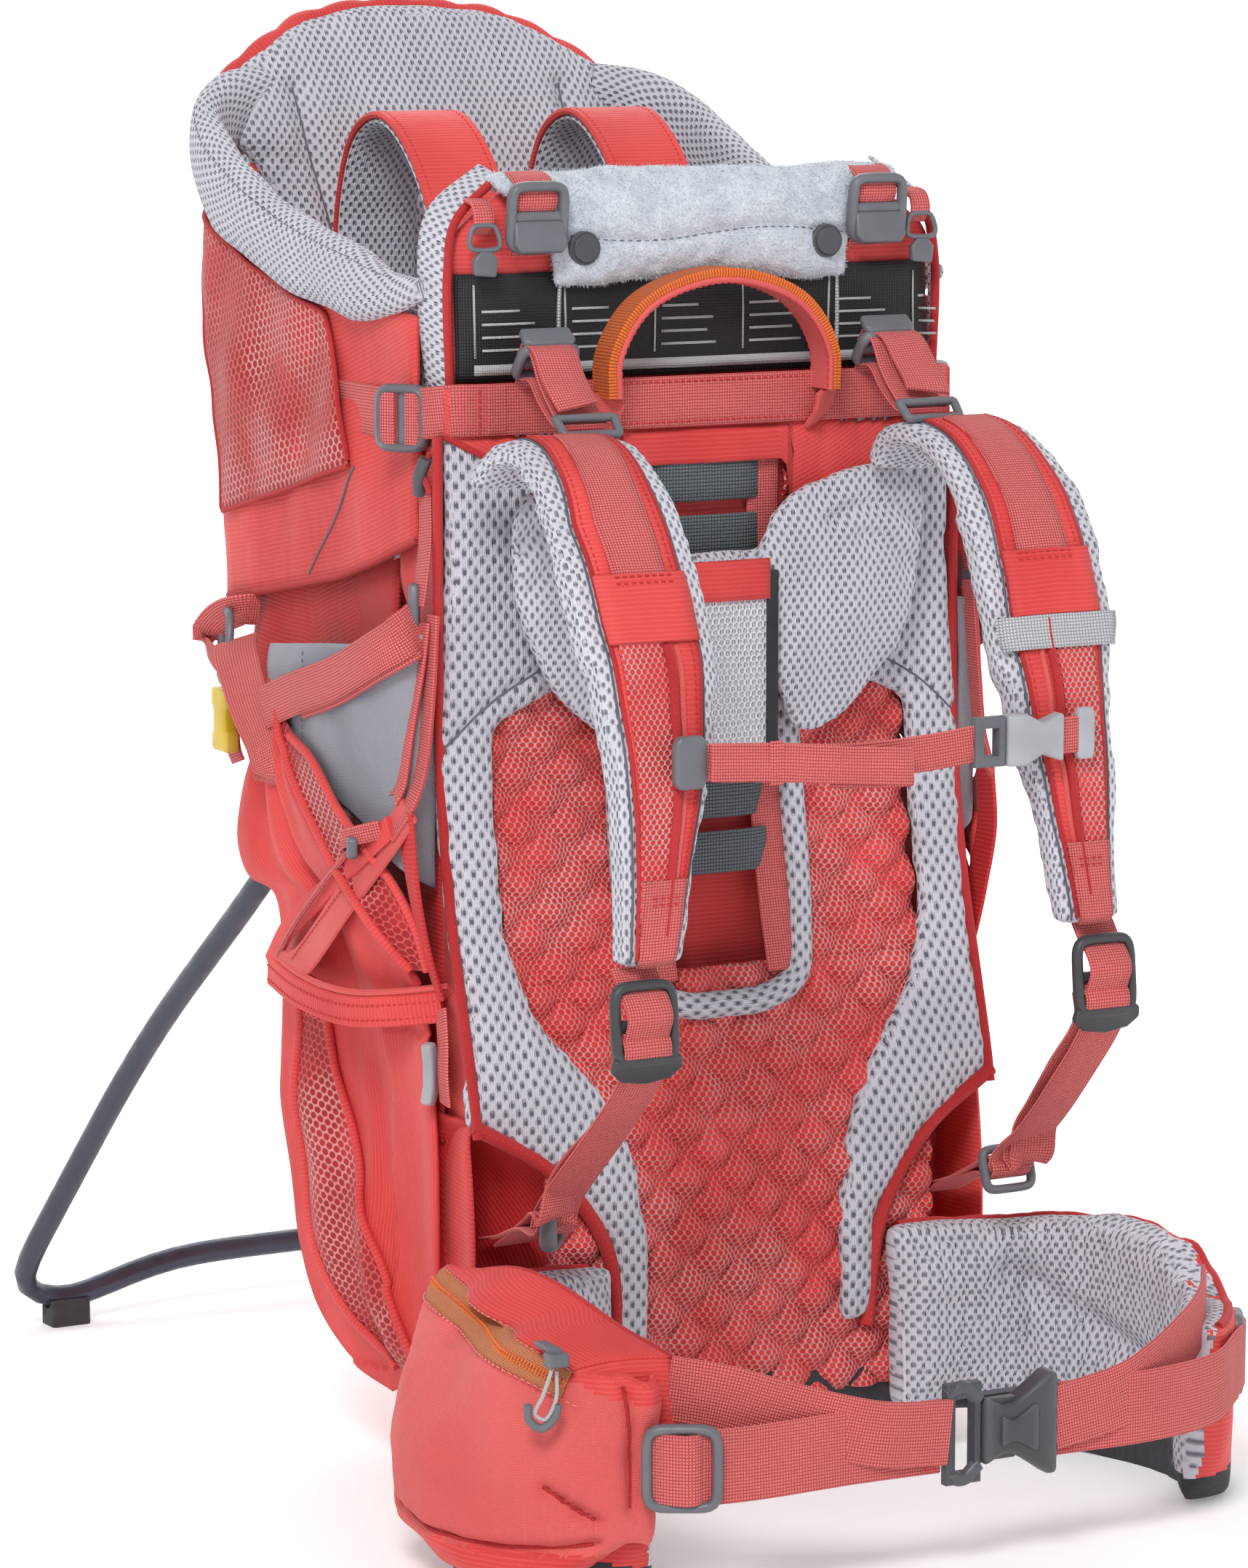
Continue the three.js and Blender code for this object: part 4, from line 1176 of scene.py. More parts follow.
def carry_handle():
    arch = [(-59, 540), (-58, 560), (-41, 584), (0, 596), (41, 584), (58, 560), (59, 540)]
    y = middle("carry_handle")[1]
    line = smooth([(x, y, z) for x, z in arch], 60)
    out = unit(np.cross(np.gradient(line, axis=0), Y)) * -1
    outer, inner = line + out * 2.4, line - out * 1.0
    obj = strap("handle_outer", None, Y, "handle", 19, 2.6, CANVAS, line=outer)
    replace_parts(obj, "carry_handle")
    strap("handle_inner", None, Y, "handle", 18, 4.2, ORANGE, line=inner)
    edge = [outer + np.array([0, s * 8.3, 0]) + out * 1.5 for s in (-1, 1)]
    stitching("handle_stitches", edge, "handle")
    for side, sign in SIDES:
        foot = [(sign * 59, y, 540), (sign * 60, y + 5, 530), (sign * 60, y + 11, 524)]
        strap("handle_foot_" + side, foot, Y * 0.6 + X * sign * 0.8, "handle", 18, 2.4, CANVAS)

# ---- Child's cockpit -----------------------------------------------------------------------------------

WALL_LEAN = 0.45  # the wall and its rim lean less than the headrest
WALL_REAR = 274
WALL_LOW = [(23, 474), (65, 460), (103, 449), (200, 431), (WALL_REAR, 419)]
WALL_TOP = [(23, 578), (70, 582), (137, 590), (190, 605), (232, 621), (258, 638), (WALL_REAR, 650)]
WALL_PLAN = [(139.5, 23), (140, 90), (140, 160), (139.5, 222), (135, 250), (118, 266), (80, 272), (40, 274),
             (0, 274)]


def height_at(line, y):
    p = np.asarray(line, float)
    return np.interp(y, p[:, 0], p[:, 1])


def lean_back(points, share=1.0):
    """The child's cushions lean back, and a little to the left, as they rise."""
    p = np.array(points, float)
    behind = share * np.clip((p[..., 1] - 120) / 100, 0, 1)
    p[..., 0] -= 10 * behind * np.clip((p[..., 2] - 480) / 60, 0, 1)
    p[..., 1] += 0.1 * behind * np.clip(p[..., 2] - 450, 0, None)
    return p


def wall_grid(rows=26, cols=110, low=WALL_LOW, top=WALL_TOP, plan=WALL_PLAN, inset=0.0, wave=4.0):
    """The cockpit's wall as a grid: columns go round the plan, rows go up."""
    right = [(x - inset, min(y, WALL_REAR - inset)) for x, y in plan]
    line = smooth([(x, y, 0) for x, y in right] + [(-x, y, 0) for x, y in right[-2::-1]], cols)
    grid = np.empty((rows, cols, 3))
    outward = unit(np.stack([line[:, 0] * 1.0, (line[:, 1] - 130) * 0.9, 0 * line[:, 0]], 1))
    for i, t in enumerate(np.linspace(0, 1, rows)):
        z = height_at(low, line[:, 1]) * (1 - t) + height_at(top, line[:, 1]) * t
        grid[i] = line
        grid[i, :, 2] = z
        fold = [noise.noise(Vector((p[0] / 60, p[1] / 46, q / 30))) for p, q in zip(line, z)]
        grid[i] += outward * (np.array(fold) * wave * math.sin(math.pi * t))[:, None]
    return lean_back(grid, WALL_LEAN)


def cockpit():
    grid = wall_grid()
    obj = sheet("cockpit_cloth", grid, RIPSTOP, "carrier", 3.0)
    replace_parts(obj, "cockpit_wall")
    skin = Skin(obj)
    edge = grid[0] + Z * 0.5
    piping("cockpit_hem", edge, 2.2, "carrier")
    lining = wall_grid(inset=9, wave=1.0)
    sheet("cockpit_lining", lining, FINE_SPACER, "carrier", 2.0)
    for side, sign in SIDES:
        # The net window in the side, with its sewn edge.
        window = smooth([(118, 574), (190, 592), (262, 618)],
                        30), smooth([(89, 503), (160, 486), (240, 467)], 30)
        top, low = ([(sign * 141, y, z) for y, z in line] for line in window)
        cells = between(low, top, 26, 46)
        cells[:, 0, 1] -= 2.4 * np.sin(math.pi * np.linspace(0, 1, len(cells)))
        cells = skin.lay(cells, (sign, 0, 0), 2.6)
        deep, high = cells[..., 1], cells[..., 2]
        folds = np.sin(deep / 8.5 + high / 26) + 0.6 * np.sin(deep / 14 - high / 40)
        cells[..., 0] += sign * 1.1 * folds
        sheet("side_net_" + side, cells, OPEN_NET, "carrier", 0.8)
        border = np.vstack([cells[0], cells[1:, -1], cells[-1, -2::-1], cells[-2:0:-1, 0]])
        piping("net_edge_" + side, resample(border, 120), 1.3, "carrier")
        rim(side, sign)
        seam = [(86, 503), (110, 476), (140, 446)]
        line = skin.lay(smooth([(sign * 141, y, z) for y, z in seam], 20), (sign, 0, 0), 0.2)
        piping("wall_seam_" + side, line, 0.7, "carrier", GREY_THREAD, sides=6)
        side_straps(side, sign)


def rim(side, sign):
    """The padded rim, pointed at the front and wider towards the back, round the top of the wall."""
    line = smooth([(140, 18, 591), (141.5, 45, 588), (142, 70, 589), (143, 137, 600), (143, 190, 617),
                   (141, 226, 634), (134, 252, 652), (116, 268, 666), (92, 276, 672)], 60)
    t = np.linspace(0, 1, len(line))
    tall = np.interp(t, [0, 0.06, 0.2, 0.35, 0.7, 1], [4, 9, 17.5, 18, 21, 15])
    thick = np.interp(t, [0, 0.06, 0.2, 1], [3, 5.5, 9.5, 10])
    ring = ellipse(1, 1, 22)
    ring = np.sign(ring) * np.abs(ring) ** 0.8
    section = ring[None] * np.stack([tall, thick], 1)[:, None]
    rings = lean_back(sweep(mirrored(line, sign), section, Z), WALL_LEAN)
    obj = tube_piece("rim_pad_" + side, rings, FINE_SPACER, None)
    rumple(obj, 1.6, 30, sign)
    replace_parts(obj, "rim_cushion_" + side)
    settle(obj, "carrier")
    out = lean_back(mirrored(line, sign), WALL_LEAN)[4:-10]
    seam = out + Z * (tall * 0.55)[4:-10, None]
    seam = Skin(obj).lay(seam, unit(np.array([sign, 0, 0.55])), 0.15)
    stitching("rim_seam_" + side, [seam], "carrier", GREY_THREAD, 3.2, 0.35)


def side_straps(side, sign):
    """Webbing and hardware on the cockpit's side."""
    lock("side_lock_" + side, GREY_PLASTIC, (-0.6 * sign, -0.8, 0), 4.6, 1.5, face=(0.8 * sign, -0.6, 0),
         long=28)
    x, turn = sign * 145, np.array([-0.6 * sign, -0.8, 0])
    for i, (away, wide) in enumerate(((-7, 9), (6, 8))):
        post = [np.array([x, 27, 0]) + turn * away + Z * z for z in (519, 531, 543)]
        post = [p + np.array([sign * 1.5, -1.0, 0]) for p in post]
        strap(f"side_loop_{i}_{side}", post, turn, "carrier", wide, 3.4)
    # A toggle on a short cord below it.
    cord("toggle_cord_" + side, [(sign * 141, 6, 516), (sign * 144, 8, 508), (sign * 142, 5, 498)], 1.6,
         "carrier")
    cord("toggle_" + side, [(sign * 143.5, 13, 497), (sign * 145.5, 9, 505), (sign * 144, 5, 514)], 3.2,
         "carrier", DARK_PLASTIC)
    side_straps_low(side, sign)


def side_straps_low(side, sign):
    """The compression strap beside the leg: front glide, diagonal, rear ring and release buckle."""

    def at(*points):
        return mirrored(points, sign)

    facing = mirrored((0.8, -0.6, 0), sign)
    glide = [(-5, -15), (5, -15), (7, -8), (6, 8), (4, 15), (-4, 15), (-7, 6), (-7, -8)]
    plate("front_glide_" + side, glide, at((149, 8, 441))[0], facing * np.array([1, 1, 0]) * -0.6 + Y * 0.5,
          Z, 5, GREY_PLASTIC, "carrier", 1.6)
    slope = Z * 0.93 + Y * 0.3
    diagonal = at((168, 136, 383), (169, 97, 395), (170, 51, 408), (168, 12, 424), (160, -1, 433),
                  (150, 3, 438))
    strap("side_diagonal_" + side, diagonal, slope, "carrier", 21, 1.8)
    strap("side_diagonal_under_" + side, diagonal[1:] - at((2.5, 0, 3)), slope, "carrier", 20, 1.8)
    strap("glide_riser_" + side, at((141, 12, 500), (143, 8, 478), (147, 4, 458), (149, 4, 446)), Y,
          "carrier", 12, 1.6)
    drop = at((147, 1, 438), (150, 0, 419), (154, 4, 388), (157, 7, 362), (159, 9, 356), (156, 10, 364),
              (153, 8, 380))
    strap("glide_drop_" + side, drop, Y, "carrier", 11, 1.8)
    outer = at((145, -4, 442), (148, -5, 402), (152, -4, 368), (157, -2, 353), (162, 7, 339))
    strap("glide_drop_outer_" + side, outer, Y, "carrier", 11, 2.0)
    rear = at((138, 208, 421), (147, 210, 421), (152, 228, 414), (153, 240, 403), (152, 226, 393),
              (150, 210, 392))
    strap("rear_loop_" + side, rear, facing * 0.4 + Z * 0.9, "carrier", 17, 1.8)
    ring = at((160, 199, 389), (152, 224, 389), (148, 228, 416), (156, 203, 418))
    cord("rear_ring_" + side, ring, 2.3, "carrier", GREY_PLASTIC, 40, True)
    fall = at((156, 196, 408), (160, 188, 404), (164, 174, 397), (168, 154, 383), (169, 136, 367),
              (168, 128, 350), (163, 134, 345))
    strap("rear_strap_" + side, fall, at((-0.35, -0.93, 0))[0], "carrier", 23, 2.0)
    if sign < 0:
        buckle = [(-9, -16), (9, -16), (9, -7), (7, -5), (7, 5), (9, 7), (9, 16), (-9, 16), (-9, 7),
                  (-7, 5), (-7, -5), (-9, -7)]
        plate("yellow_buckle", buckle, middle("side_release_buckle"), Y, Z, 8, YELLOW_PLASTIC, "carrier", 1.8,
              ["side_release_buckle"])
        band = at((148, 224, 392), (149, 228, 378), (149, 228, 350), (147, 226, 342))
        strap("yellow_buckle_webbing", band - at((5, 0, 0)), Y, "carrier", 17, 1.8)


def waist():
    plan = [(131, 60), (133, 100), (133, 150), (133, 200), (130, 226), (118, 238), (60, 240.5), (0, 240.5)]
    low = [(60, 392), (100, 300), (150, 282), (224, 284), (240.5, 300)]
    top = [(60, 476), (240.5, 476)]
    # The waist wall takes the shaded ripstop copy: painted shade.
    obj = sheet("waist_cloth", wall_grid(26, 100, low, top, plan, 0.0, 5.0), SHADED_RIPSTOP, "carrier", 2.4)
    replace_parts(obj, "waist_wall")
    seat = soft_seat
    rumple(seat, 4.0, 42)
    rumple(seat, 1.6, 15, 3)
    cover(seat, LINING, body_of("seat_bucket"))


def headrest():
    obj = soft_headrest
    set_points(obj, lean_back(corners_of(obj.data)))
    skin = Skin(obj)
    seams = []
    for side, sign in SIDES:
        seam = smooth([(sign * 76, 210, 676), (sign * 74, 210, 650), (sign * 66, 210, 600),
                       (sign * 52, 210, 520)], 50)
        seams.append(skin.lay(lean_back(seam), -Y, 0, 90))
    for seam in seams:
        crease(obj, seam, 5.5, 6.0)
    rumple(obj, 2.4, 34)
    chart(obj)
    paint(obj, [FINE_SPACER, RIPSTOP], lambda c, n: n[:, 1] > 0.3)
    settle(obj, "headrest")
    skin = Skin(obj)
    for (side, sign), seam in zip(SIDES, seams):
        line = skin.lay(seam, -Y, 0.15, 90)
        piping("headrest_seam_" + side, line, 0.6, "headrest", GREY_THREAD, sides=6)
    # A gathered red edge shows behind the cushion, all the way round.
    co = corners_of(obj.data)
    middle_height = 600
    angle = np.arctan2(co[:, 2] - middle_height, co[:, 0])
    reach = np.hypot(co[:, 0], co[:, 2] - middle_height)
    edge = []
    for turn in np.linspace(math.radians(-8), math.radians(188), 120)[::6]:
        near = np.abs(np.angle(np.exp(1j * (angle - turn)))) < math.radians(2.5)
        edge.append(co[near][reach[near].argmax()])
    edge = smooth(edge, 110)
    out = unit(edge - np.array([0, edge[:, 1].mean(), middle_height]))
    gather = np.abs(np.sin(np.linspace(0, 16 * math.pi, 110)))[:, None]
    path = edge + Y * 6 - out * 2.5
    section = ellipse(1, 1, 14)[None] * (5.0 + 1.8 * gather)[:, None]
    tube_piece("headrest_binding", sweep(path, section), RIPSTOP, "headrest")


def child_straps():
    for side, sign in SIDES:
        line = smooth([(224, 560), (221, 618), (203, 653), (174, 662), (142, 645), (114, 605), (98, 545),
                       (92, 495)],
                      70)
        x = sign * 53
        path = np.array([(x, y, z) for y, z in line])
        out = unit(np.cross(np.gradient(path, axis=0), X))
        out = out * np.sign((out * (path - np.array([x, 165, 560]))).sum(1))[:, None]
        path = path + np.array([-8, 8, 0])
        outer = strap("child_strap_" + side, None, X, "headrest", 45, 3.2, RIPSTOP, line=path + out * 3.0)
        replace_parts(outer, "child_strap_" + side)
        rings = sweep(path - out * 0.6, ellipse(21.5, 4.6, 14), X)
        tube_piece("child_strap_pad_" + side, rings, FINE_SPACER, "headrest")
        edges = [path + out * 4.6 + X * s for s in (-18.5, 18.5)]
        stitching("child_strap_stitches_" + side, edges, "headrest")

# ---- Lower compartment and stirrups --------------------------------------------------------------------


def compartment():
    obj = soft_bag
    rumple(obj, 5.0, 70)
    rumple(obj, 2.5, 26, 5)
    cover(obj, RIPSTOP, "carrier")
    for side, sign in SIDES:
        side_cloth(side, sign, Skin(obj))
        stirrup(side, sign)


BODY_REAR = [(158, 150, 396), (160, 162, 362), (161, 175, 339), (161, 183, 310), (160, 174, 295),
             (158, 146, 289), (155, 144, 262), (152, 152, 228), (150, 159, 200), (150, 160, 184),
             (150, 148, 148), (149, 141, 114), (147, 124, 85), (142, 92, 64), (135, 60, 56)]
BODY_FRONT = [(163, 126, 390), (166, 104, 355), (166, 80, 336), (166, 50, 314), (160, 19, 290), (149, 8, 268),
              (143, 5, 240), (141, 0, 200), (141, -2, 160), (140, 0, 120), (139, 2, 86)]
THIGH_NET = ([(164, 124, 388), (166, 116, 371), (168, 101, 355), (168, 78, 336), (168, 46, 313),
              (163, 14, 290),
              (151, 6, 274)],
             [(166, 106, 373), (168, 77, 365), (168, 49, 346), (165, 22, 329), (158, 14, 317), (151, 2, 296),
              (145, 0, 274)])
POCKET_NET = ([(152, 120, 240), (152, 128, 205), (152, 129, 172), (151, 124, 131), (148, 88, 92),
               (142, 46, 72)],
              [(152, 100, 238), (152, 97, 205), (152, 81, 171), (151, 57, 132), (146, 30, 88), (142, 22, 74)])


def side_cloth(side, sign, bag):
    """The loose cloth from beside the child's leg down over the compartment, with its lining and two nets."""

    def edge(points, count):
        return smooth(mirrored(points, sign), count)

    # The grey lining beside the leg, with a few soft folds.
    upper = [(158, 148, 412), (164, 84, 420), (163, 25, 427), (150, 0, 433), (141, 2, 434)]
    lower = [(158, 148, 390), (161, 108, 362), (161, 48, 340), (155, 10, 322), (139, 5, 312)]
    lining = between(edge(upper, 46), edge(lower, 46), 36, 46, (sign * 1.5, 0, 0))
    rise, along = np.meshgrid(np.linspace(0, 1, 36), np.linspace(0, 1, 46), indexing="ij")
    folds = np.sin(along * 9 + rise * 5) * 1.6 + np.sin(along * 17 - rise * 9) * 0.9
    lining[..., 0] += sign * folds * rise * np.sin(math.pi * along)
    sheet("leg_lining_" + side, ruffle(lining, 3.0, 30, (sign, 0, 0), 2 + sign, False), LINING, "carrier",
          1.8)
    stitching("leg_seam_" + side, [lining[2:-6, 15] + X * sign * 2.6], "carrier", GREY_THREAD)
    inner = between(edge([(136, 4, 350), (136, 112, 350)], 12), edge([(137, 4, 190), (137, 112, 190)], 12),
                    12, 12)
    # The inner thigh wall takes the shaded ripstop copy: painted shade.
    sheet("thigh_wall_" + side, inner, SHADED_RIPSTOP, "carrier", 1.8)
    # The red body, in long folds from the thigh net down to the compartment's foot.
    rows, cols = 54, 120
    body = between(edge(BODY_FRONT, cols), edge(BODY_REAR, cols), rows, cols)
    wide, long = np.meshgrid(np.linspace(0, 1, rows), np.linspace(0, 1, cols), indexing="ij")
    hold = np.sin(math.pi * wide) ** 0.5 * np.clip((1 - long) * 8, 0, 1)
    folds = 3.2 * np.sin(wide * 7 + long * 4) + 2.2 * np.sin(wide * 15 - long * 7 + 1)
    folds += 1.4 * np.sin(wide * 24 + long * 3)
    folds += 3.0 * np.exp(-(((wide - 0.25 - 0.3 * long) / 0.05) ** 2))
    body[..., 0] += sign * folds * hold
    body = ruffle(body, 5.0, 42, (sign, 0, 0), 5 + sign)
    over = np.abs(bag.lay(body, (sign, 0, 0), 2.0, 40)[..., 0])
    lower = np.clip((280 - body[..., 2]) / 40, 0, 1)
    body[..., 0] = sign * np.maximum(np.abs(body[..., 0]), over * lower)
    obj = sheet("side_body_" + side, body, RIPSTOP, "carrier", 1.8)
    piping("side_body_hem_" + side, body[0, : cols // 2], 2.0, "carrier")
    skin = Skin(obj)
    for name, (left, right), count in (("thigh_net_", THIGH_NET, 40), ("pocket_net_", POCKET_NET, 60)):
        cells = between(edge(right, count), edge(left, count), 12, count)
        laid = skin.lay(cells, (sign, 0, 0), 1.2, 14)
        least = np.abs(cells[..., 0]) if name == "thigh_net_" else 0
        cells[..., 0] = sign * np.maximum(np.abs(laid[..., 0]), least)
        sheet(name + side, cells, OPEN_NET, "carrier", 0.8)
        for label, row in (("rear", cells[-1]), ("front", cells[0])):
            piping(f"{name}hem_{label}_{side}", row + X * sign, 2.2, "carrier", RIPSTOP)


def stirrup(side, sign):
    body = "stirrup_" + side

    def at(*points):
        return mirrored(points, sign)

    line = smooth(at((168, 132, 254), (171, 90, 252), (167, 44, 252), (156, 14, 255), (141, -3, 257)), 50)
    line[:, 2] -= 3 * np.sin(math.pi * np.linspace(0, 1, 50))
    outer = strap(body + "_band", None, Z, body, 15, 3.0, RIPSTOP, line=line)
    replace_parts(outer, "stirrup_" + side)
    shelf = line + at((-5, 0, 7))
    strap(body + "_shelf", None, X * sign + Z * 0.5, body, 12, 3.0, CANVAS, line=shelf)
    stitching(body + "_stitches", [line + at((1.9, 0, 3)), line + at((1.9, 0, -4))], body)
    bend = ("carrier", body, (0, 0, 330), (0, 0, 262))
    risers = (
        ("_riser", at((168, 118, 258), (169, 98, 262), (168, 46, 302), (161, 6, 340), (157, -2, 352)), 17,
         CANVAS),
        ("_riser_outer", at((168, 132, 257), (168, 112, 277), (168, 65, 305), (167, 24, 330),
                            (163, 6, 343)), 12, RIPSTOP),
        # The front riser takes the shaded ripstop copy: painted shade.
        ("_front_riser", at((158, 0, 350), (157, -4, 322), (151, -4, 290), (143, -5, 262)), 15, SHADED_RIPSTOP),
    )
    for name, points, width, material in risers:
        strap(body + name, points, Y * 0.75 + Z * 0.66, bend, width, 2.2, material)
    stitching(body + "_riser_stitches", [smooth(risers[0][1][1:-1], 30) + at((1.8, 3, 3))], bend)
    rope = at((168, 124, 262), (172, 96, 282), (172, 62, 308), (170, 36, 328))
    cord(body + "_cord", rope, 1.5, bend, WEBBING)
    clip = [(-12, -4), (-4, -6), (10, -4), (13, 0), (9, 5), (-4, 6), (-12, 5)]
    plate(body + "_clip", clip, at((171, 31, 331))[0], Y * 0.9 - X * sign * 0.4, Z, 5, GREY_PLASTIC,
          "carrier", 1.6)
    loop = at((168, 44, 330), (175, 33, 334), (172, 20, 338), (165, 12, 341))
    strap(body + "_clip_loop", loop, Z, "carrier", 9, 1.8)
    fin = [(-6, -14), (0, -16), (6, -8), (6, 6), (1, 15), (-5, 14), (-3, 4), (-3, -6)]
    plate("side_cleat_" + side, fin, at((147, -2, 226))[0], Y * 0.6 - X * sign * 0.8, Z, 6, LIGHT_PLASTIC,
          "carrier", 1.8)
    loop = at((142, -4, 256), (144, -10, 240), (145, -12, 226), (143, -10, 212))
    strap("cleat_webbing_" + side, loop, Y, "carrier", 10, 1.8)

# ---- Wearer's harness ----------------------------------------------------------------------------------

STRAP_SIDE = [(-27, 500), (-32, 511), (-48, 519), (-74, 517), (-101, 500), (-126, 464), (-141, 422),
              (-150, 376), (-154, 330), (-155, 300)]
STRAP_OUTER = [(298, 132), (345, 132), (395, 136), (450, 142), (490, 143), (512, 137), (545, 122)]
STRAP_INNER = [(298, 100), (338, 90), (388, 76), (433, 69), (470, 71), (505, 73), (545, 74)]


def strap_grid(skin, sign, start, end, left, right, rows, cols, lift):
    """A grid on a shoulder strap's outer face, between shares of its length and of its width."""
    side = smooth([(0, y, z) for y, z in STRAP_SIDE], 200)
    tangent = unit(np.gradient(side, axis=0))
    away = unit(np.cross(tangent, X)) * -1
    away *= np.sign(-away[100][1])
    grid, outs = np.empty((rows, cols, 3)), np.empty((rows, cols, 3))
    left = np.interp(np.linspace(0, 1, rows), np.linspace(0, 1, len(np.atleast_1d(left))),
                     np.atleast_1d(left))
    right = np.interp(np.linspace(0, 1, rows), np.linspace(0, 1, len(np.atleast_1d(right))),
                      np.atleast_1d(right))
    for i, t in enumerate(np.linspace(start, end, rows)):
        k = int(t * 199)
        z = side[k, 2] if side[k, 1] < -61 else 2 * side[:, 2].max() - side[k, 2]
        inner, outer = height_at(STRAP_INNER, z), height_at(STRAP_OUTER, z)
        share = np.linspace(left[i], right[i], cols)
        grid[i] = side[k] + X * (inner + (outer - inner) * share)[:, None]
        outs[i] = away[k]
    grid, outs = mirrored(grid, sign), mirrored(outs, sign)
    return skin.lay(grid, outs, lift, 14), outs


def shoulder_straps():
    for side, sign in SIDES:
        obj = soft_straps[side]
        rumple(obj, 1.5, 24, sign)
        chart(obj, [(y, z) for y, z in STRAP_SIDE], (1, 2))
        dress(obj, [FINE_SPACER])
        settle(obj, "harness")
        skin = Skin(obj)

        def lay(*place):
            return strap_grid(skin, sign, *place)[0]

        # Coral cover down the middle, net window in it and piping between them.
        front = lay(0.13, 0.985, [0.2, 0.2, 0.2, 0.22, 0.25], [0.8, 0.8, 0.8, 0.78, 0.75], 90, 9, 1.1)
        sheet("strap_cover_" + side, front, RIPSTOP, "harness", 2.0)
        for label, column in (("inner", 0), ("outer", -1)):
            piping(f"strap_piping_{label}_{side}", front[:, column], 1.3, "harness")
        net = lay(0.5, 0.93, 0.46 if sign > 0 else 0.44, 0.76, 50, 8, 2.6)
        sheet("strap_net_" + side, net, NET, "harness", 1.0)
        ridge = lay(0.535, 0.95, 0.42, 0.43, 60, 2, 3.0)
        piping("strap_ridge_" + side, ridge[:, 0], 2.2, "harness")
        ridge = lay(0.535, 0.95, 0.35, 0.36, 60, 2, 2.0)
        piping("strap_fold_" + side, ridge[:, 0], 1.5, "harness", CANVAS)
        for label, column in (("inner", 0.22), ("outer", 0.78)):
            row = lay(0.15, 0.97, column + 0.02 * (1 if label == "inner" else -1), column + 0.03, 80, 2, 2.3)
            stitching(f"strap_stitches_{label}_{side}", [row[:, 0]], "harness")
        # Webbing over the shoulder to a sewn panel.
        band = lay(0.16, 0.44, 0.3, 0.68, 46, 6, 3.0)
        sheet("shoulder_webbing_" + side, band, WEBBING, "harness", 1.8)
        patch = lay(0.43, 0.53, 0.18, 0.82, 16, 8, 3.6)
        sheet("shoulder_patch_" + side, patch, RIPSTOP, "harness", 1.6)
        tacks = [lay(t, t + 0.001, 0.28, 0.7, 2, 24, 4.9)[0] for t in (0.436, 0.447)]
        stitching("shoulder_tacks_" + side, tacks, "harness")
        if sign > 0:
            belt = lay(0.53, 0.58, 0.06, 0.94, 10, 14, 4.2)
            sheet("strap_elastic", belt, ELASTIC, "harness", 1.6)
        strap_end(side, sign, skin)
        soft_edge(side, lay)


def soft_edge(side, lay):
    """The bound seam between the pad and its cover, drawn as a fine thread."""
    for label, share in (("inner", 0.17), ("outer", 0.83)):
        line = lay(0.1, 0.99, share, share + 0.01, 90, 2, 0.2)
        piping(f"strap_seam_{label}_{side}", line[:, 0], 0.6, "harness", GREY_THREAD, sides=6)


def strap_end(side, sign, skin):
    """Webbing tab, adjuster and the lower webbing down to the anchor."""
    tab, out = strap_grid(skin, sign, 0.87, 0.995, 0.24, 0.76, 20, 7, 4.0)
    sheet("strap_tab_" + side, tab, WEBBING, "harness", 1.8)
    box = [tab[k, 1:-1] + out[k, 1:-1] * 1.3 for k in (4, 6)]
    stitching("tab_stitches_" + side, box, "harness")
    x, y, z = lock("strap_adjuster_" + side, BLACK_PLASTIC, Z, 5.2, 1.25)
    low = [(-17, 2), (17, 2), (18, -4), (12, -9), (0, -11), (-12, -9), (-18, -4)]
    plate("adjuster_lip_" + side, low, (x, y - 2.5, z - 16), X, Z * 0.96 - Y * 0.25, 4.5, BLACK_PLASTIC,
          "harness", 1.6)
    through = [(x, -155, 300), (x, -161, 293), (x, -168, 287), (x, -172, 280), (x, -169, 272), (x, -166, 266)]
    strap("adjuster_webbing_" + side, through, X, "harness", 23, 1.7)
    ax, ay, az = middle("lower_anchor_" + side)
    bend = ("carrier", "harness", (ax, ay - 6, az + 8), (x, y, z - 14))
    lower = [(x, -163, 275), (x, -170, 266), (x, -164, 252), (x + sign * 2, -136, 222),
             (ax + sign * 2, -104, 192), (ax, ay - 5, az + 9), (ax, ay - 1, az)]
    strap("lower_webbing_" + side, lower, X, bend, 24, 1.7)
    back = [(x, -158, 268), (x, -160, 256), (x, -138, 230), (ax + sign * 3, -112, 206),
            (ax + sign * 4, -98, 190), (ax + sign * 5, -94, 176), (ax + sign * 4, -90, 172),
            (ax + sign * 3, -92, 182)]
    strap("lower_tail_" + side, back, X * 0.95 - Y * 0.3 * sign, bend, 22, 1.7)
    lock("lower_anchor_" + side, GREY_PLASTIC, Z, 4.4, 1.4, face=(0.8, -0.6, 0) if sign < 0 else None)
    fixed = [(sign * 116, -12, 146), (sign * 119, -34, 152), (ax, ay + 14, az - 4), (ax, ay, az - 4),
             (ax, ay - 5, az + 1), (ax, ay, az + 6), (ax - sign * 2, ay + 16, az - 2), (sign * 117, -30, 147)]
    strap("anchor_webbing_" + side, fixed, X, "carrier", 22, 1.7)


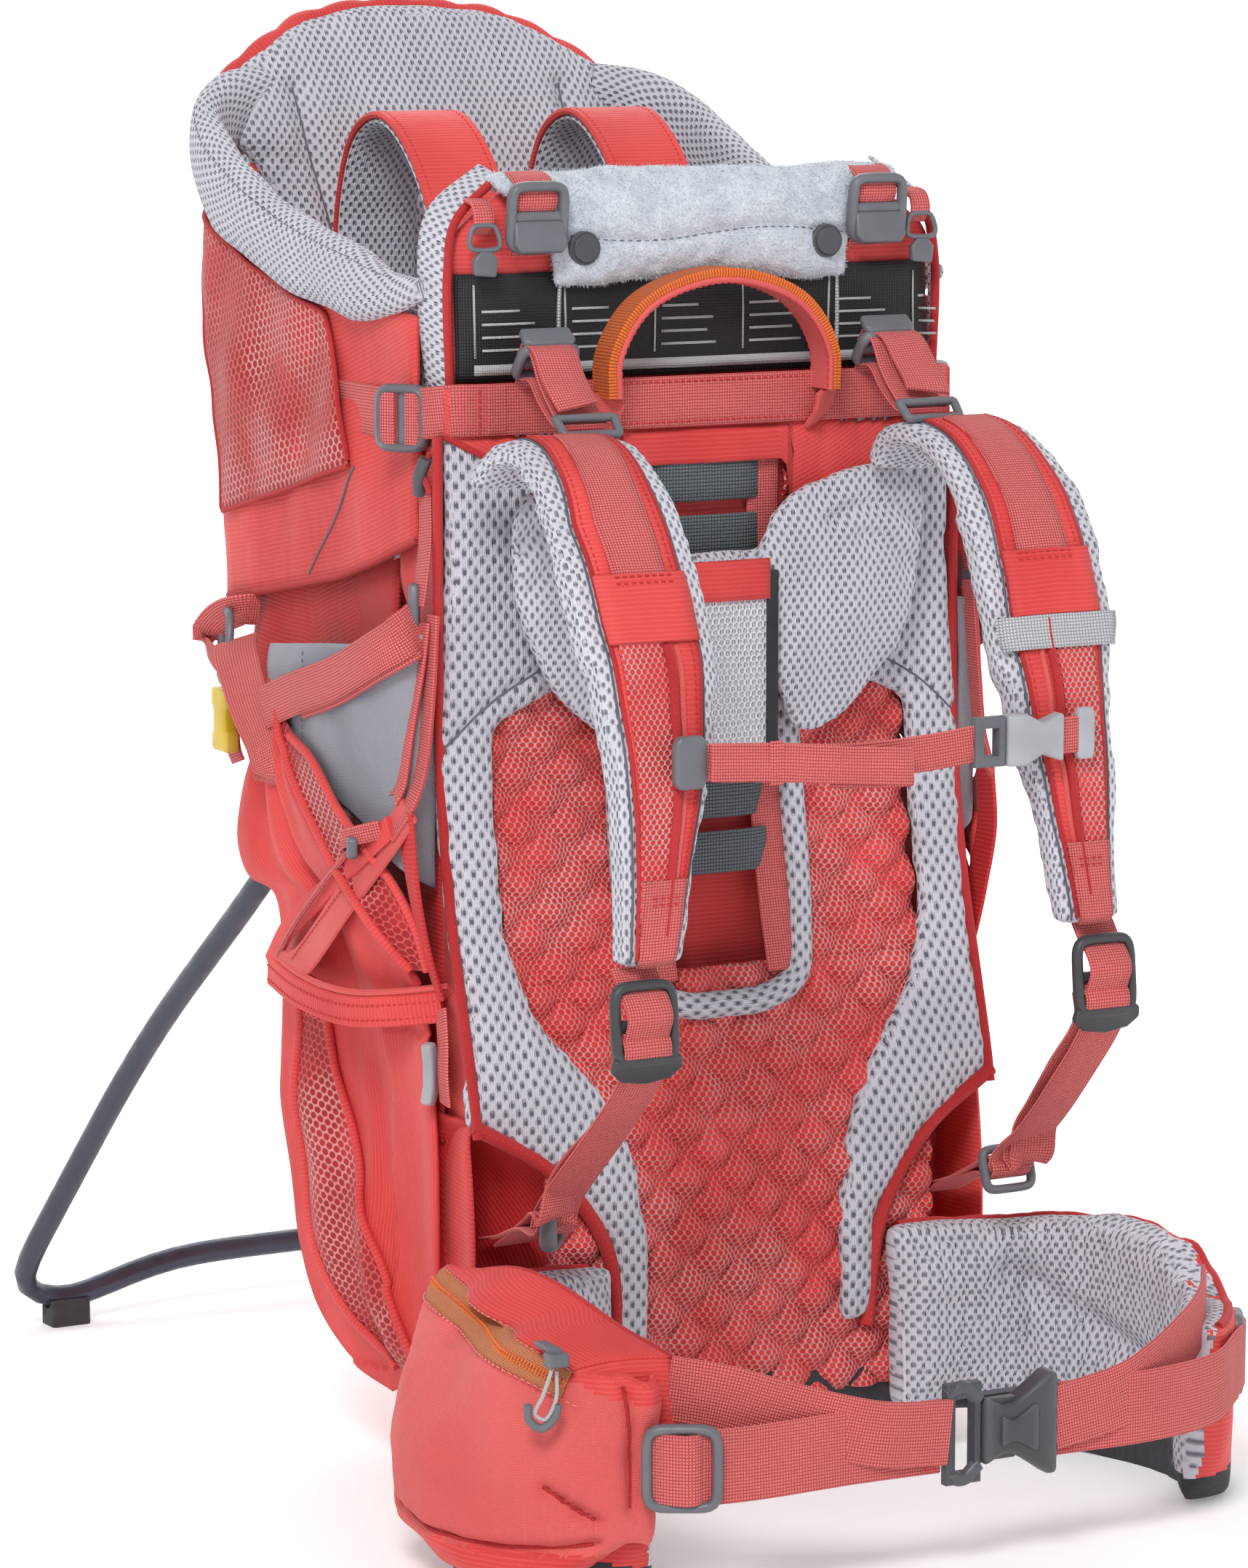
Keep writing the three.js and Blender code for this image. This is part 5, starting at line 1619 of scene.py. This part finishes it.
def yoke():
    obj = soft_yoke
    for side, sign in SIDES:
        for fold, depth in (
            ([(60, 478), (76, 484), (96, 482), (112, 470)], 5.0),
            ([(74, 470), (88, 466), (104, 452)], 3.0),
            ([(52, 488), (70, 494), (92, 494)], 2.0),
        ):
            line = smooth([(sign * x, -20, z) for x, z in fold], 24)
            crease(obj, Skin(obj).lay(line, -Y, 0, 30), depth, 5.0)
    rumple(obj, 2.4, 30, 7)
    cover(obj, FINE_SPACER, "harness")
    # The plate between the lobes stands just proud of the padding, with a dark bound edge and a red hem.
    grid = flat_grid(np.linspace(-22, 21, 14), np.linspace(366, 462, 26))
    front = Skin(obj).lay(grid, -Y, 1.2, 30)[..., 1].min()
    grid[..., 1] = front - 0.8 * np.cos(grid[..., 0] / 16)
    sheet("yoke_plate", grid[:22], PLATE, "harness", 1.8)
    sheet("yoke_hem", grid[20:] - Y * 1.2, RIPSTOP, "harness", 2.4)
    for side, sign in SIDES:
        edge = [(sign * 23, front - 0.6, z) for z in (456, 420, 366)]
        strap("yoke_binding_" + side, edge, X, "harness", 7, 3.2, DARK_CLOTH)


def sternum():
    y, z = middle("sternum_strap")[1], middle("sternum_strap")[2]
    lo, hi = extent("sternum_strap")
    run = [(hi[0] + 6, y, z), (20, y + 0.5, z - 3), (-20, y, z - 4), (-60, y + 1, z - 1),
           (lo[0] - 8, y + 2, z + 1)]
    obj = strap("sternum_webbing", run, Z, "sternum_catch", 17, 1.6)
    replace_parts(obj, "sternum_strap")
    tail = [(lo[0] - 2, y - 3, z + 1), (-60, y - 4, z - 1), (-25, y - 8, z - 4), (2, y - 11, z - 6),
            (9, y - 8, z - 7), (3, y - 5, z - 8), (-30, y - 3, z - 6)]
    strap("sternum_tail", tail, Z * 0.97 + Y * 0.1, "sternum_catch", 17, 1.5)
    wrap = [(-62, y - 4.5, z - 1), (-56, y - 5, z - 1)]
    strap("sternum_keeper", wrap, Z, "sternum_catch", 20, 1.4)
    # Clips that slide on the straps' piping.
    clip = [(-6, -12), (6, -12), (8, -8), (8, 8), (6, 12), (-6, 12), (-8, 8), (-8, -8)]
    plate("sternum_clip_left", clip, (lo[0] - 10, y + 3, z + 1), X, Z, 6, GREY_PLASTIC, "sternum", 1.8)
    sock_lo, sock_hi = extent("sternum_socket")
    stub = [(sock_hi[0] - 4, y, z), (sock_hi[0] + 8, y + 1, z), (sock_hi[0] + 16, y + 4, z)]
    strap("sternum_stub", stub, Z, "sternum", 17, 1.8)
    plate("sternum_clip_right", [(0.6 * u, v) for u, v in clip], (sock_hi[0] + 15, y + 3, z), X, Z, 5,
          LIGHT_PLASTIC, "sternum", 1.4)
    sx, height = (sock_lo[0] + sock_hi[0]) / 2, sock_hi[2] - sock_lo[2]
    half, length = height / 2, sock_hi[0] - sock_lo[0]
    shape = [(-length / 2, -half), (-length / 6, -half), (length / 8, -half * 0.62),
             (length / 2, -half * 0.95), (length / 2, half * 0.95), (length / 8, half * 0.62),
             (-length / 6, half), (-length / 2, half)]
    plate("sternum_socket_shell", shape, (sx, y, z), X, Z, 9, LIGHT_PLASTIC, "sternum", 1.8,
          ["sternum_socket"])
    moulded("sternum_tongue", GREY_PLASTIC, 0.8)

# ---- Hip belt ------------------------------------------------------------------------------------------

BELT_CENTRE = np.array([0, -140, 0])
POCKET_CENTRE = np.array([-150, -140, 100])
FIN_LINE = [(76, -50), (112, -54), (148, -68), (174, -94), (184, -132), (178, -168), (160, -198), (142, -214)]


def fin_foot(k):
    """Height of the dark foot at a point of the fin's 120 point path."""
    return 44 + 16 * np.sin(k / 119 * math.pi)


def fins():
    for side, sign in SIDES:
        obj = soft_fins[side]
        line = np.array([(sign * x, y) for x, y in FIN_LINE])
        path = smooth([(x, y, 0) for x, y in line], 120)
        tangent = unit(np.gradient(path, axis=0))
        outward = np.cross(tangent, Z)
        outward *= np.sign((outward * (path - BELT_CENTRE)).sum(1))[:, None]

        def nearest(points):
            return np.linalg.norm(points[:, None, :2] - path[None, :, :2], axis=2).argmin(1)

        # The lobes meet in a sewn valley on the inner face.
        steps = ((30, 112), (48, 92), (70, 78), (92, 74), (112, 74))
        valley = [path[k] - outward[k] * 12 + Z * z for k, z in steps]
        crease(obj, smooth(valley, 60), 7.0, 8.0)
        # Its foot reaches lower in the middle.
        co = corners_of(obj.data)
        k = nearest(co)
        drop = 14 * np.clip((74 - co[:, 2]) / 34, 0, 1) * np.sin(math.pi * np.clip((k - 8) / 96, 0, 1))
        co[:, 2] = np.maximum(co[:, 2] - drop, co[:, 2].min())
        set_points(obj, co)
        rumple(obj, 2.2, 34, sign * 2)
        chart(obj, line.tolist(), (0, 1))

        def rule(c, n):
            k = nearest(c)
            outer = (n * outward[k]).sum(1) > 0.2
            low = c[:, 2] < fin_foot(k)
            return np.where(low, 2, np.where(outer, 1, 0))

        paint(obj, [FINE_SPACER, RIPSTOP, DARK_CLOTH], rule)
        settle(obj, "hip_" + side)
        skin = Skin(obj)
        rims = []
        for lift, low in ((-9, False), (9, True)):
            edge = np.array([path[k] + outward[k] * lift + Z * 140 for k in range(4, 116)])
            rims.append(skin.lay(edge, Z, 0.0, 90))
        piping("fin_piping_" + side, resample(rims[1], 70), 2.2, "hip_" + side)
        # A fine hem where the dark foot begins, on the inner face.
        k = np.arange(6, 114)
        hem = path[k] - outward[k] * 14 + Z * fin_foot(k)[:, None]
        laid = skin.lay(hem, -outward[k], 0.2, 14)
        piping("fin_hem_" + side, resample(laid, 70), 1.2, "hip_" + side, GREY_THREAD)


def pocket_shape(points):
    """The pocket's top leans in over the fin and stands a little higher."""
    p = np.array(points, float)
    top = np.clip((p[..., 2] - 85) / 60, 0, 1)
    p[..., 0] += 17 * top * np.clip((-150 - p[..., 0]) / 50, 0, 1)
    p[..., 2] += 7 * top
    return p


def zip_height(y):
    """Height of the zip along the pocket."""
    return np.interp(y, [-230, -213, -186, -150, -118, -88, -60], [120, 130, 138, 144, 148, 148, 144])


POCKET_PLAN = [(-120, -43), (-198, -76), (-224, -150), (-206, -192), (-150, -230)]
POCKET_SEAMS = (
    [(-188, -198, 84), (-180, -206, 76), (-172, -213, 70)],
    [(-162, -221, 130), (-160, -225, 100), (-160, -224, 76)],
    [(-222, -100, 56), (-212, -150, 54), (-190, -196, 56), (-172, -212, 59)],
)
ZIP_LINE = [(-186, -88, 0), (-205, -118, 0), (-209, -150, 0), (-199, -186, 0), (-181, -213, 0)]
POCKET_CREST = [(-170, -84, 148), (-168, -106, 156), (-163, -127, 160), (-157, -147, 158), (-152, -166, 153),
                (-146, -188, 146), (-136, -220, 138)]


def pocket():
    obj = soft_pocket
    set_points(obj, pocket_shape(corners_of(obj.data)))
    seams = []
    for points in POCKET_SEAMS:
        line = smooth(points, 50)
        away = unit((line - POCKET_CENTRE) * (X + Y))
        seams.append((line, away))
        crease(obj, Skin(obj).lay(line, away, 0, 30), 6.0, 3.0)
    rumple(obj, 3.2, 40, 4)
    rumple(obj, 1.2, 14, 9)
    chart(obj, POCKET_PLAN, (0, 1))

    def rule(c, n):
        above = c[:, 2] > zip_height(c[:, 1]) + 2
        below = c[:, 2] < 52 - 0.03 * (c[:, 1] + 150)
        return np.where(above, 1, np.where(below, 2, 0))

    paint(obj, [CANVAS, RIPSTOP, RIPSTOP], rule)
    settle(obj, "hip_left")
    skin = Skin(obj)
    for i, (line, away) in enumerate(seams):
        piping(f"pocket_seam_{i}", skin.lay(line, away, 0.1, 30), 0.9, "hip_left", sides=6)
    pocket_lid(pocket_zip(skin))
    zip_puller()


def pocket_zip(skin):
    """The zip along the pocket's top outer edge. Returns its tape's upper edge."""
    path = smooth(ZIP_LINE, 60)
    path[:, 2] = zip_height(path[:, 1])
    path = pocket_shape(path)
    tangent = unit(np.gradient(path, axis=0))
    out = unit(np.cross(Z, tangent))
    out *= np.sign((out * (path - POCKET_CENTRE)).sum(1))[:, None]
    slope = unit(out + Z * 0.25)
    up = np.cross(tangent, slope)
    path[:, 2] -= 9
    rows = np.array([smooth(skin.lay(path + up * offset, slope, 1.4, 22)[::7], 60)
                     for offset in np.linspace(-6.5, 6.5, 7)])
    sheet("zip_tape", rows.transpose(1, 0, 2), ZIP_TAPE, "hip_left", 1.2)
    for i, line in enumerate((rows[0], rows[-1])):
        stitching(f"zip_stitches_{i}", [line + slope * 0.9], "hip_left", WEBBING)
    for i, shift in enumerate((-1.0, 1.0)):
        stitching(f"zip_teeth_{i}", [rows[3] + slope + up * shift], "hip_left", ORANGE, 1.7, 0.75)
    hem = skin.lay(path + Z * -7 + out * 2, slope, 0.2, 20)
    stitching("pocket_stitches", [hem], "hip_left", WEBBING, 3.6, 0.45)
    return max((rows[0], rows[-1]), key=lambda row: row[:, 2].mean())


def pocket_lid(zip_edge):
    """The red panel that closes the pocket above the zip, down over its inner side and its front end."""
    crest = smooth(POCKET_CREST, 60)
    lid = between(zip_edge, crest, 14, 60, (0, 0, 2))
    sheet("pocket_cover", ruffle(lid, 1.2, 26, (-0.5, -0.5, 0.7), 3), RIPSTOP, "hip_left", 2.4)
    piping("pocket_cover_edge", crest, 2.0, "hip_left")
    back = crest + np.array([12, 8, -34])
    sheet("pocket_cover_back", between(crest, back, 6, 60), RIPSTOP, "hip_left", 2.0)
    end = between(lid[:, -1], lid[:, -1] + np.array([3, -2, -34]), 6, 14)
    sheet("pocket_cover_end", end, RIPSTOP, "hip_left", 2.0)


def zip_puller():
    """The slider, its loop of cord and the hooked grip."""
    moulded("zip_slider", GREY_PLASTIC, 0.6)
    place = middle("zip_slider")
    pull = [(0, -4, 0), (-4, -8, -6), (-8, -8, -16), (-10, -5, -24), (-6, -6, -27), (-2, -9, -18),
            (0, -6, -6)]
    cord("zip_cord", place + pull, 0.9, "zip_pull", SIGN_MARK, 50)
    grip = [(-13, -4, -20), (-12, -3, -27), (-7, -5, -31), (-2, -8, -26), (-1, -9, -20)]
    cord("zip_grip", place + grip, 2.0, "zip_pull", GREY_PLASTIC, 24)


def belt():
    right = lock("hip_lock_right", GREY_PLASTIC, Y, 5.0, 1.3)
    left = lock("hip_lock_left", GREY_PLASTIC, X, 5.0, 1.3, long=36)
    z = middle("hip_socket")[2]
    front = middle("hip_socket")[1]
    wide = 34
    run = [(-17, front, z), (-60, front - 1, z + 1), (-110, front + 1, z), (-136, front + 4, z)]
    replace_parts(strap("belt_left", run, Z, "hip_left", wide, 2.0), "hip_strap_left")
    upper = [(-14, front - 3, z + 2), (-50, front - 4, z + 6), (-90, front + 6, z + 17),
             (-120, front + 16, z + 27), (-138, front + 30, z + 30)]
    strap("belt_left_upper", upper, Z, "hip_left", 30, 2.0)
    x, y = left[0], left[1]
    turn = [(x + 10, y - 3, z), (x + 2, y - 6, z), (x - 5, y - 1, z), (x - 12, y + 8, z)]
    strap("belt_left_loop", turn, Z, "hip_left", wide - 2, 2.0)
    run = [(43, front, z), (96, front - 1, z), (138, front + 13, z - 1), (169, front + 40, z)]
    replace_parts(strap("belt_right", run, Z, "hip_right", wide, 2.0), "hip_strap_right")
    upper = [(40, front - 3, z + 1), (80, front - 2, z + 8), (125, front + 18, z + 22),
             (152, front + 44, z + 27), (172, front + 74, z + 25)]
    strap("belt_right_upper", upper, Z, "hip_right", 30, 2.0)
    x, y = right[0], right[1]
    turn = [(x - 12, y - 18, z), (x - 2, y - 8, z), (x + 5, y + 2, z), (x + 4, y + 14, z)]
    strap("belt_right_loop", turn, Z, "hip_right", wide - 2, 2.0)
    for side, sign, x0 in (("left", -1, -20), ("right", 1, 46)):
        xs = np.linspace(x0, x0 + sign * 8, 6)
        lines = [np.array([(x, front - 2.6, z + h) for x in xs]) for h in (-14, 14)]
        stitching("belt_stitches_" + side, lines, "hip_" + side)
    hip_buckle(front, z)


def hip_buckle(y, z):
    """The wide side-release buckle, X-shaped from the front."""
    lo, hi = extent("hip_socket")
    length, half = hi[0] - lo[0], (hi[2] - lo[2]) / 2
    arc = []
    for t in np.linspace(0, 1, 9):
        height = 0.45 + 0.44 * abs(2 * (t - 0.3)) ** 1.3
        arc.append((length * (t - 0.5), half * min(height, 1)))
    shape = arc + [(u, -v) for u, v in reversed(arc)]
    centre = (lo[0] + hi[0]) / 2
    plate("hip_buckle_socket", shape, (centre, y, z), X, Z, 13, DARK_PLASTIC, "hip_right", 3.0,
          ["hip_socket"])
    ridge = [(0.5 * u, 0.45 * v) for u, v in shape]
    plate("hip_buckle_button", ridge, (centre - 2, y - 6.5, z), X, Z, 4, DARK_PLASTIC, "hip_right", 1.5)
    moulded("hip_tongue", DARK_PLASTIC, 1.4)
    lo, hi = extent("hip_tongue")
    for label, sign in (("top", 1), ("bottom", -1)):
        wing = [(lo[0] + 1, y, z + sign * 18), (lo[0] + 9, y - 1, z + sign * 21),
                (lo[0] + 17, y - 1, z + sign * 15)]
        cord("hip_tongue_wing_" + label, wing, 3.4, "hip_left", DARK_PLASTIC, 14)

# ---- Light, floor and camera ---------------------------------------------------------------------------


CAMERA_TURN = math.radians(-28)
CAMERA_RISE = math.radians(9)
CAMERA_DISTANCE = 2600
CAMERA_TARGET = (-43, 0, 355)
LENS = 125.9
SENSOR = 36
SKY_STRENGTH = 0.52
LIT_POINT = (0, 0, 0.3)
LIGHTS = (  # name, place in metres, power in watts, size in metres
    ("key", (-1.5, -1.9, 2.3), 54, 0.9),
    ("fill", (2.4, -2.2, 1.0), 8, 2.0),
    ("back", (0.6, 2.2, 2.4), 22, 1.8),
)


def stage():
    """A pale paper floor that bends up behind the carrier, a white sky and three soft lights."""
    ground = min(CAD_BOX[0][2], 0)
    size, low, bend, steps = 14.0, 3.5, 2.5, 24
    turns = np.linspace(0, math.pi / 2, steps)
    profile = [(-size, 0.0)] + [(low + bend * math.sin(a), bend * (1 - math.cos(a))) for a in turns]
    profile.append((low + bend, 8.0))
    verts = [(x, y, ground + z) for y, z in profile for x in (-size, size)]
    faces = [(2 * i, 2 * i + 1, 2 * i + 3, 2 * i + 2) for i in range(len(profile) - 1)]
    mesh = bpy.data.meshes.new("floor")
    mesh.from_pydata(verts, [], faces)
    mesh.shade_smooth()
    floor = add_object("floor", mesh)
    paper = Look("paper", 0.9)
    paper.color(paper.mix(paper.ramp(paper.noise(0.6), 0.3, 0.7), (0.93, 0.93, 0.935), (0.9, 0.9, 0.905)))
    paper.put((1.0, 1.0, 1.0), paper.shader.inputs["Emission Color"])
    depth = paper.node("SeparateXYZ", paper.node("TexCoord").outputs["Object"]).outputs[1]
    paper.put(paper.ramp(depth, 0.4, 3.0, 0.2, 0.7), paper.shader.inputs["Emission Strength"])
    mesh.materials.append(paper.material)
    floor.rotation_euler.z = CAMERA_TURN
    world = bpy.data.worlds.new("studio")
    world.use_nodes = True
    background = world.node_tree.nodes["Background"]
    background.inputs[0].default_value = (1.0, 1.0, 1.0, 1)
    background.inputs[1].default_value = SKY_STRENGTH
    bpy.context.scene.world = world
    for name, place, power, size in LIGHTS:
        light = bpy.data.lights.new(name, "AREA")
        light.energy = power
        light.size = size
        obj = add_object(name, light)
        obj.location = place
        obj.rotation_euler = (Vector(LIT_POINT) - Vector(place)).to_track_quat("-Z", "Y").to_euler()
    bpy.context.scene.view_settings.view_transform = "Standard"


def camera():
    """Looks at the carrier from its wearer's front left, a little from above."""
    back = np.array([
        math.sin(CAMERA_TURN) * math.cos(CAMERA_RISE),
        -math.cos(CAMERA_TURN) * math.cos(CAMERA_RISE),
        math.sin(CAMERA_RISE),
    ])
    right = unit(np.cross(-back, Z))
    up = np.cross(right, -back)
    place = to_row(np.array(CAMERA_TARGET) + back * CAMERA_DISTANCE)
    turn = TILT @ np.stack([right, up, back], 1)
    data = bpy.data.cameras.new("camera")
    data.lens = LENS
    data.sensor_fit = "AUTO"
    data.sensor_width = SENSOR
    obj = add_object("camera", data)
    obj.matrix_world = Matrix.Translation(Vector(place)) @ Matrix(turn.tolist()).to_4x4()
    bpy.context.scene.camera = obj

# ---- Build ---------------------------------------------------------------------------------------------

soft_back = {side: soft("back_pad_" + side, 4.0, 3.5) for side, sign in SIDES}
soft_straps = {side: soft("shoulder_strap_" + side, 4.0, 4.0) for side, sign in SIDES}
soft_fins = {side: soft("hip_fin_" + side, 4.5, 5.0) for side, sign in SIDES}
soft_yoke = soft("yoke_pad", 4.0, 5.0, 6.0)
soft_top = soft("headboard", 4.0, 2.5)
soft_drool = soft("drool_pad", 4.0, 4.0)
soft_headrest = soft("headrest_pad", 5.0, 6.0)
soft_seat = soft("seat_bucket", 4.5, 3.0)
soft_bag = soft("lower_compartment", 6.0, 9.0)
soft_pocket = soft("hip_pocket", 4.5, 6.0)
soft_lumbar = soft("lumbar_pad", 4.5, 4.0)
swell_all()

hard_parts()
back_pads()
back_panel()
cover(soft_lumbar, DARK_CLOTH, "carrier")
headboard()
drool_pad()
top_hardware()
carry_handle()
cockpit()
waist()
headrest()
child_straps()
compartment()
shoulder_straps()
yoke()
sternum()
fins()
pocket()
belt()
stage()
camera()
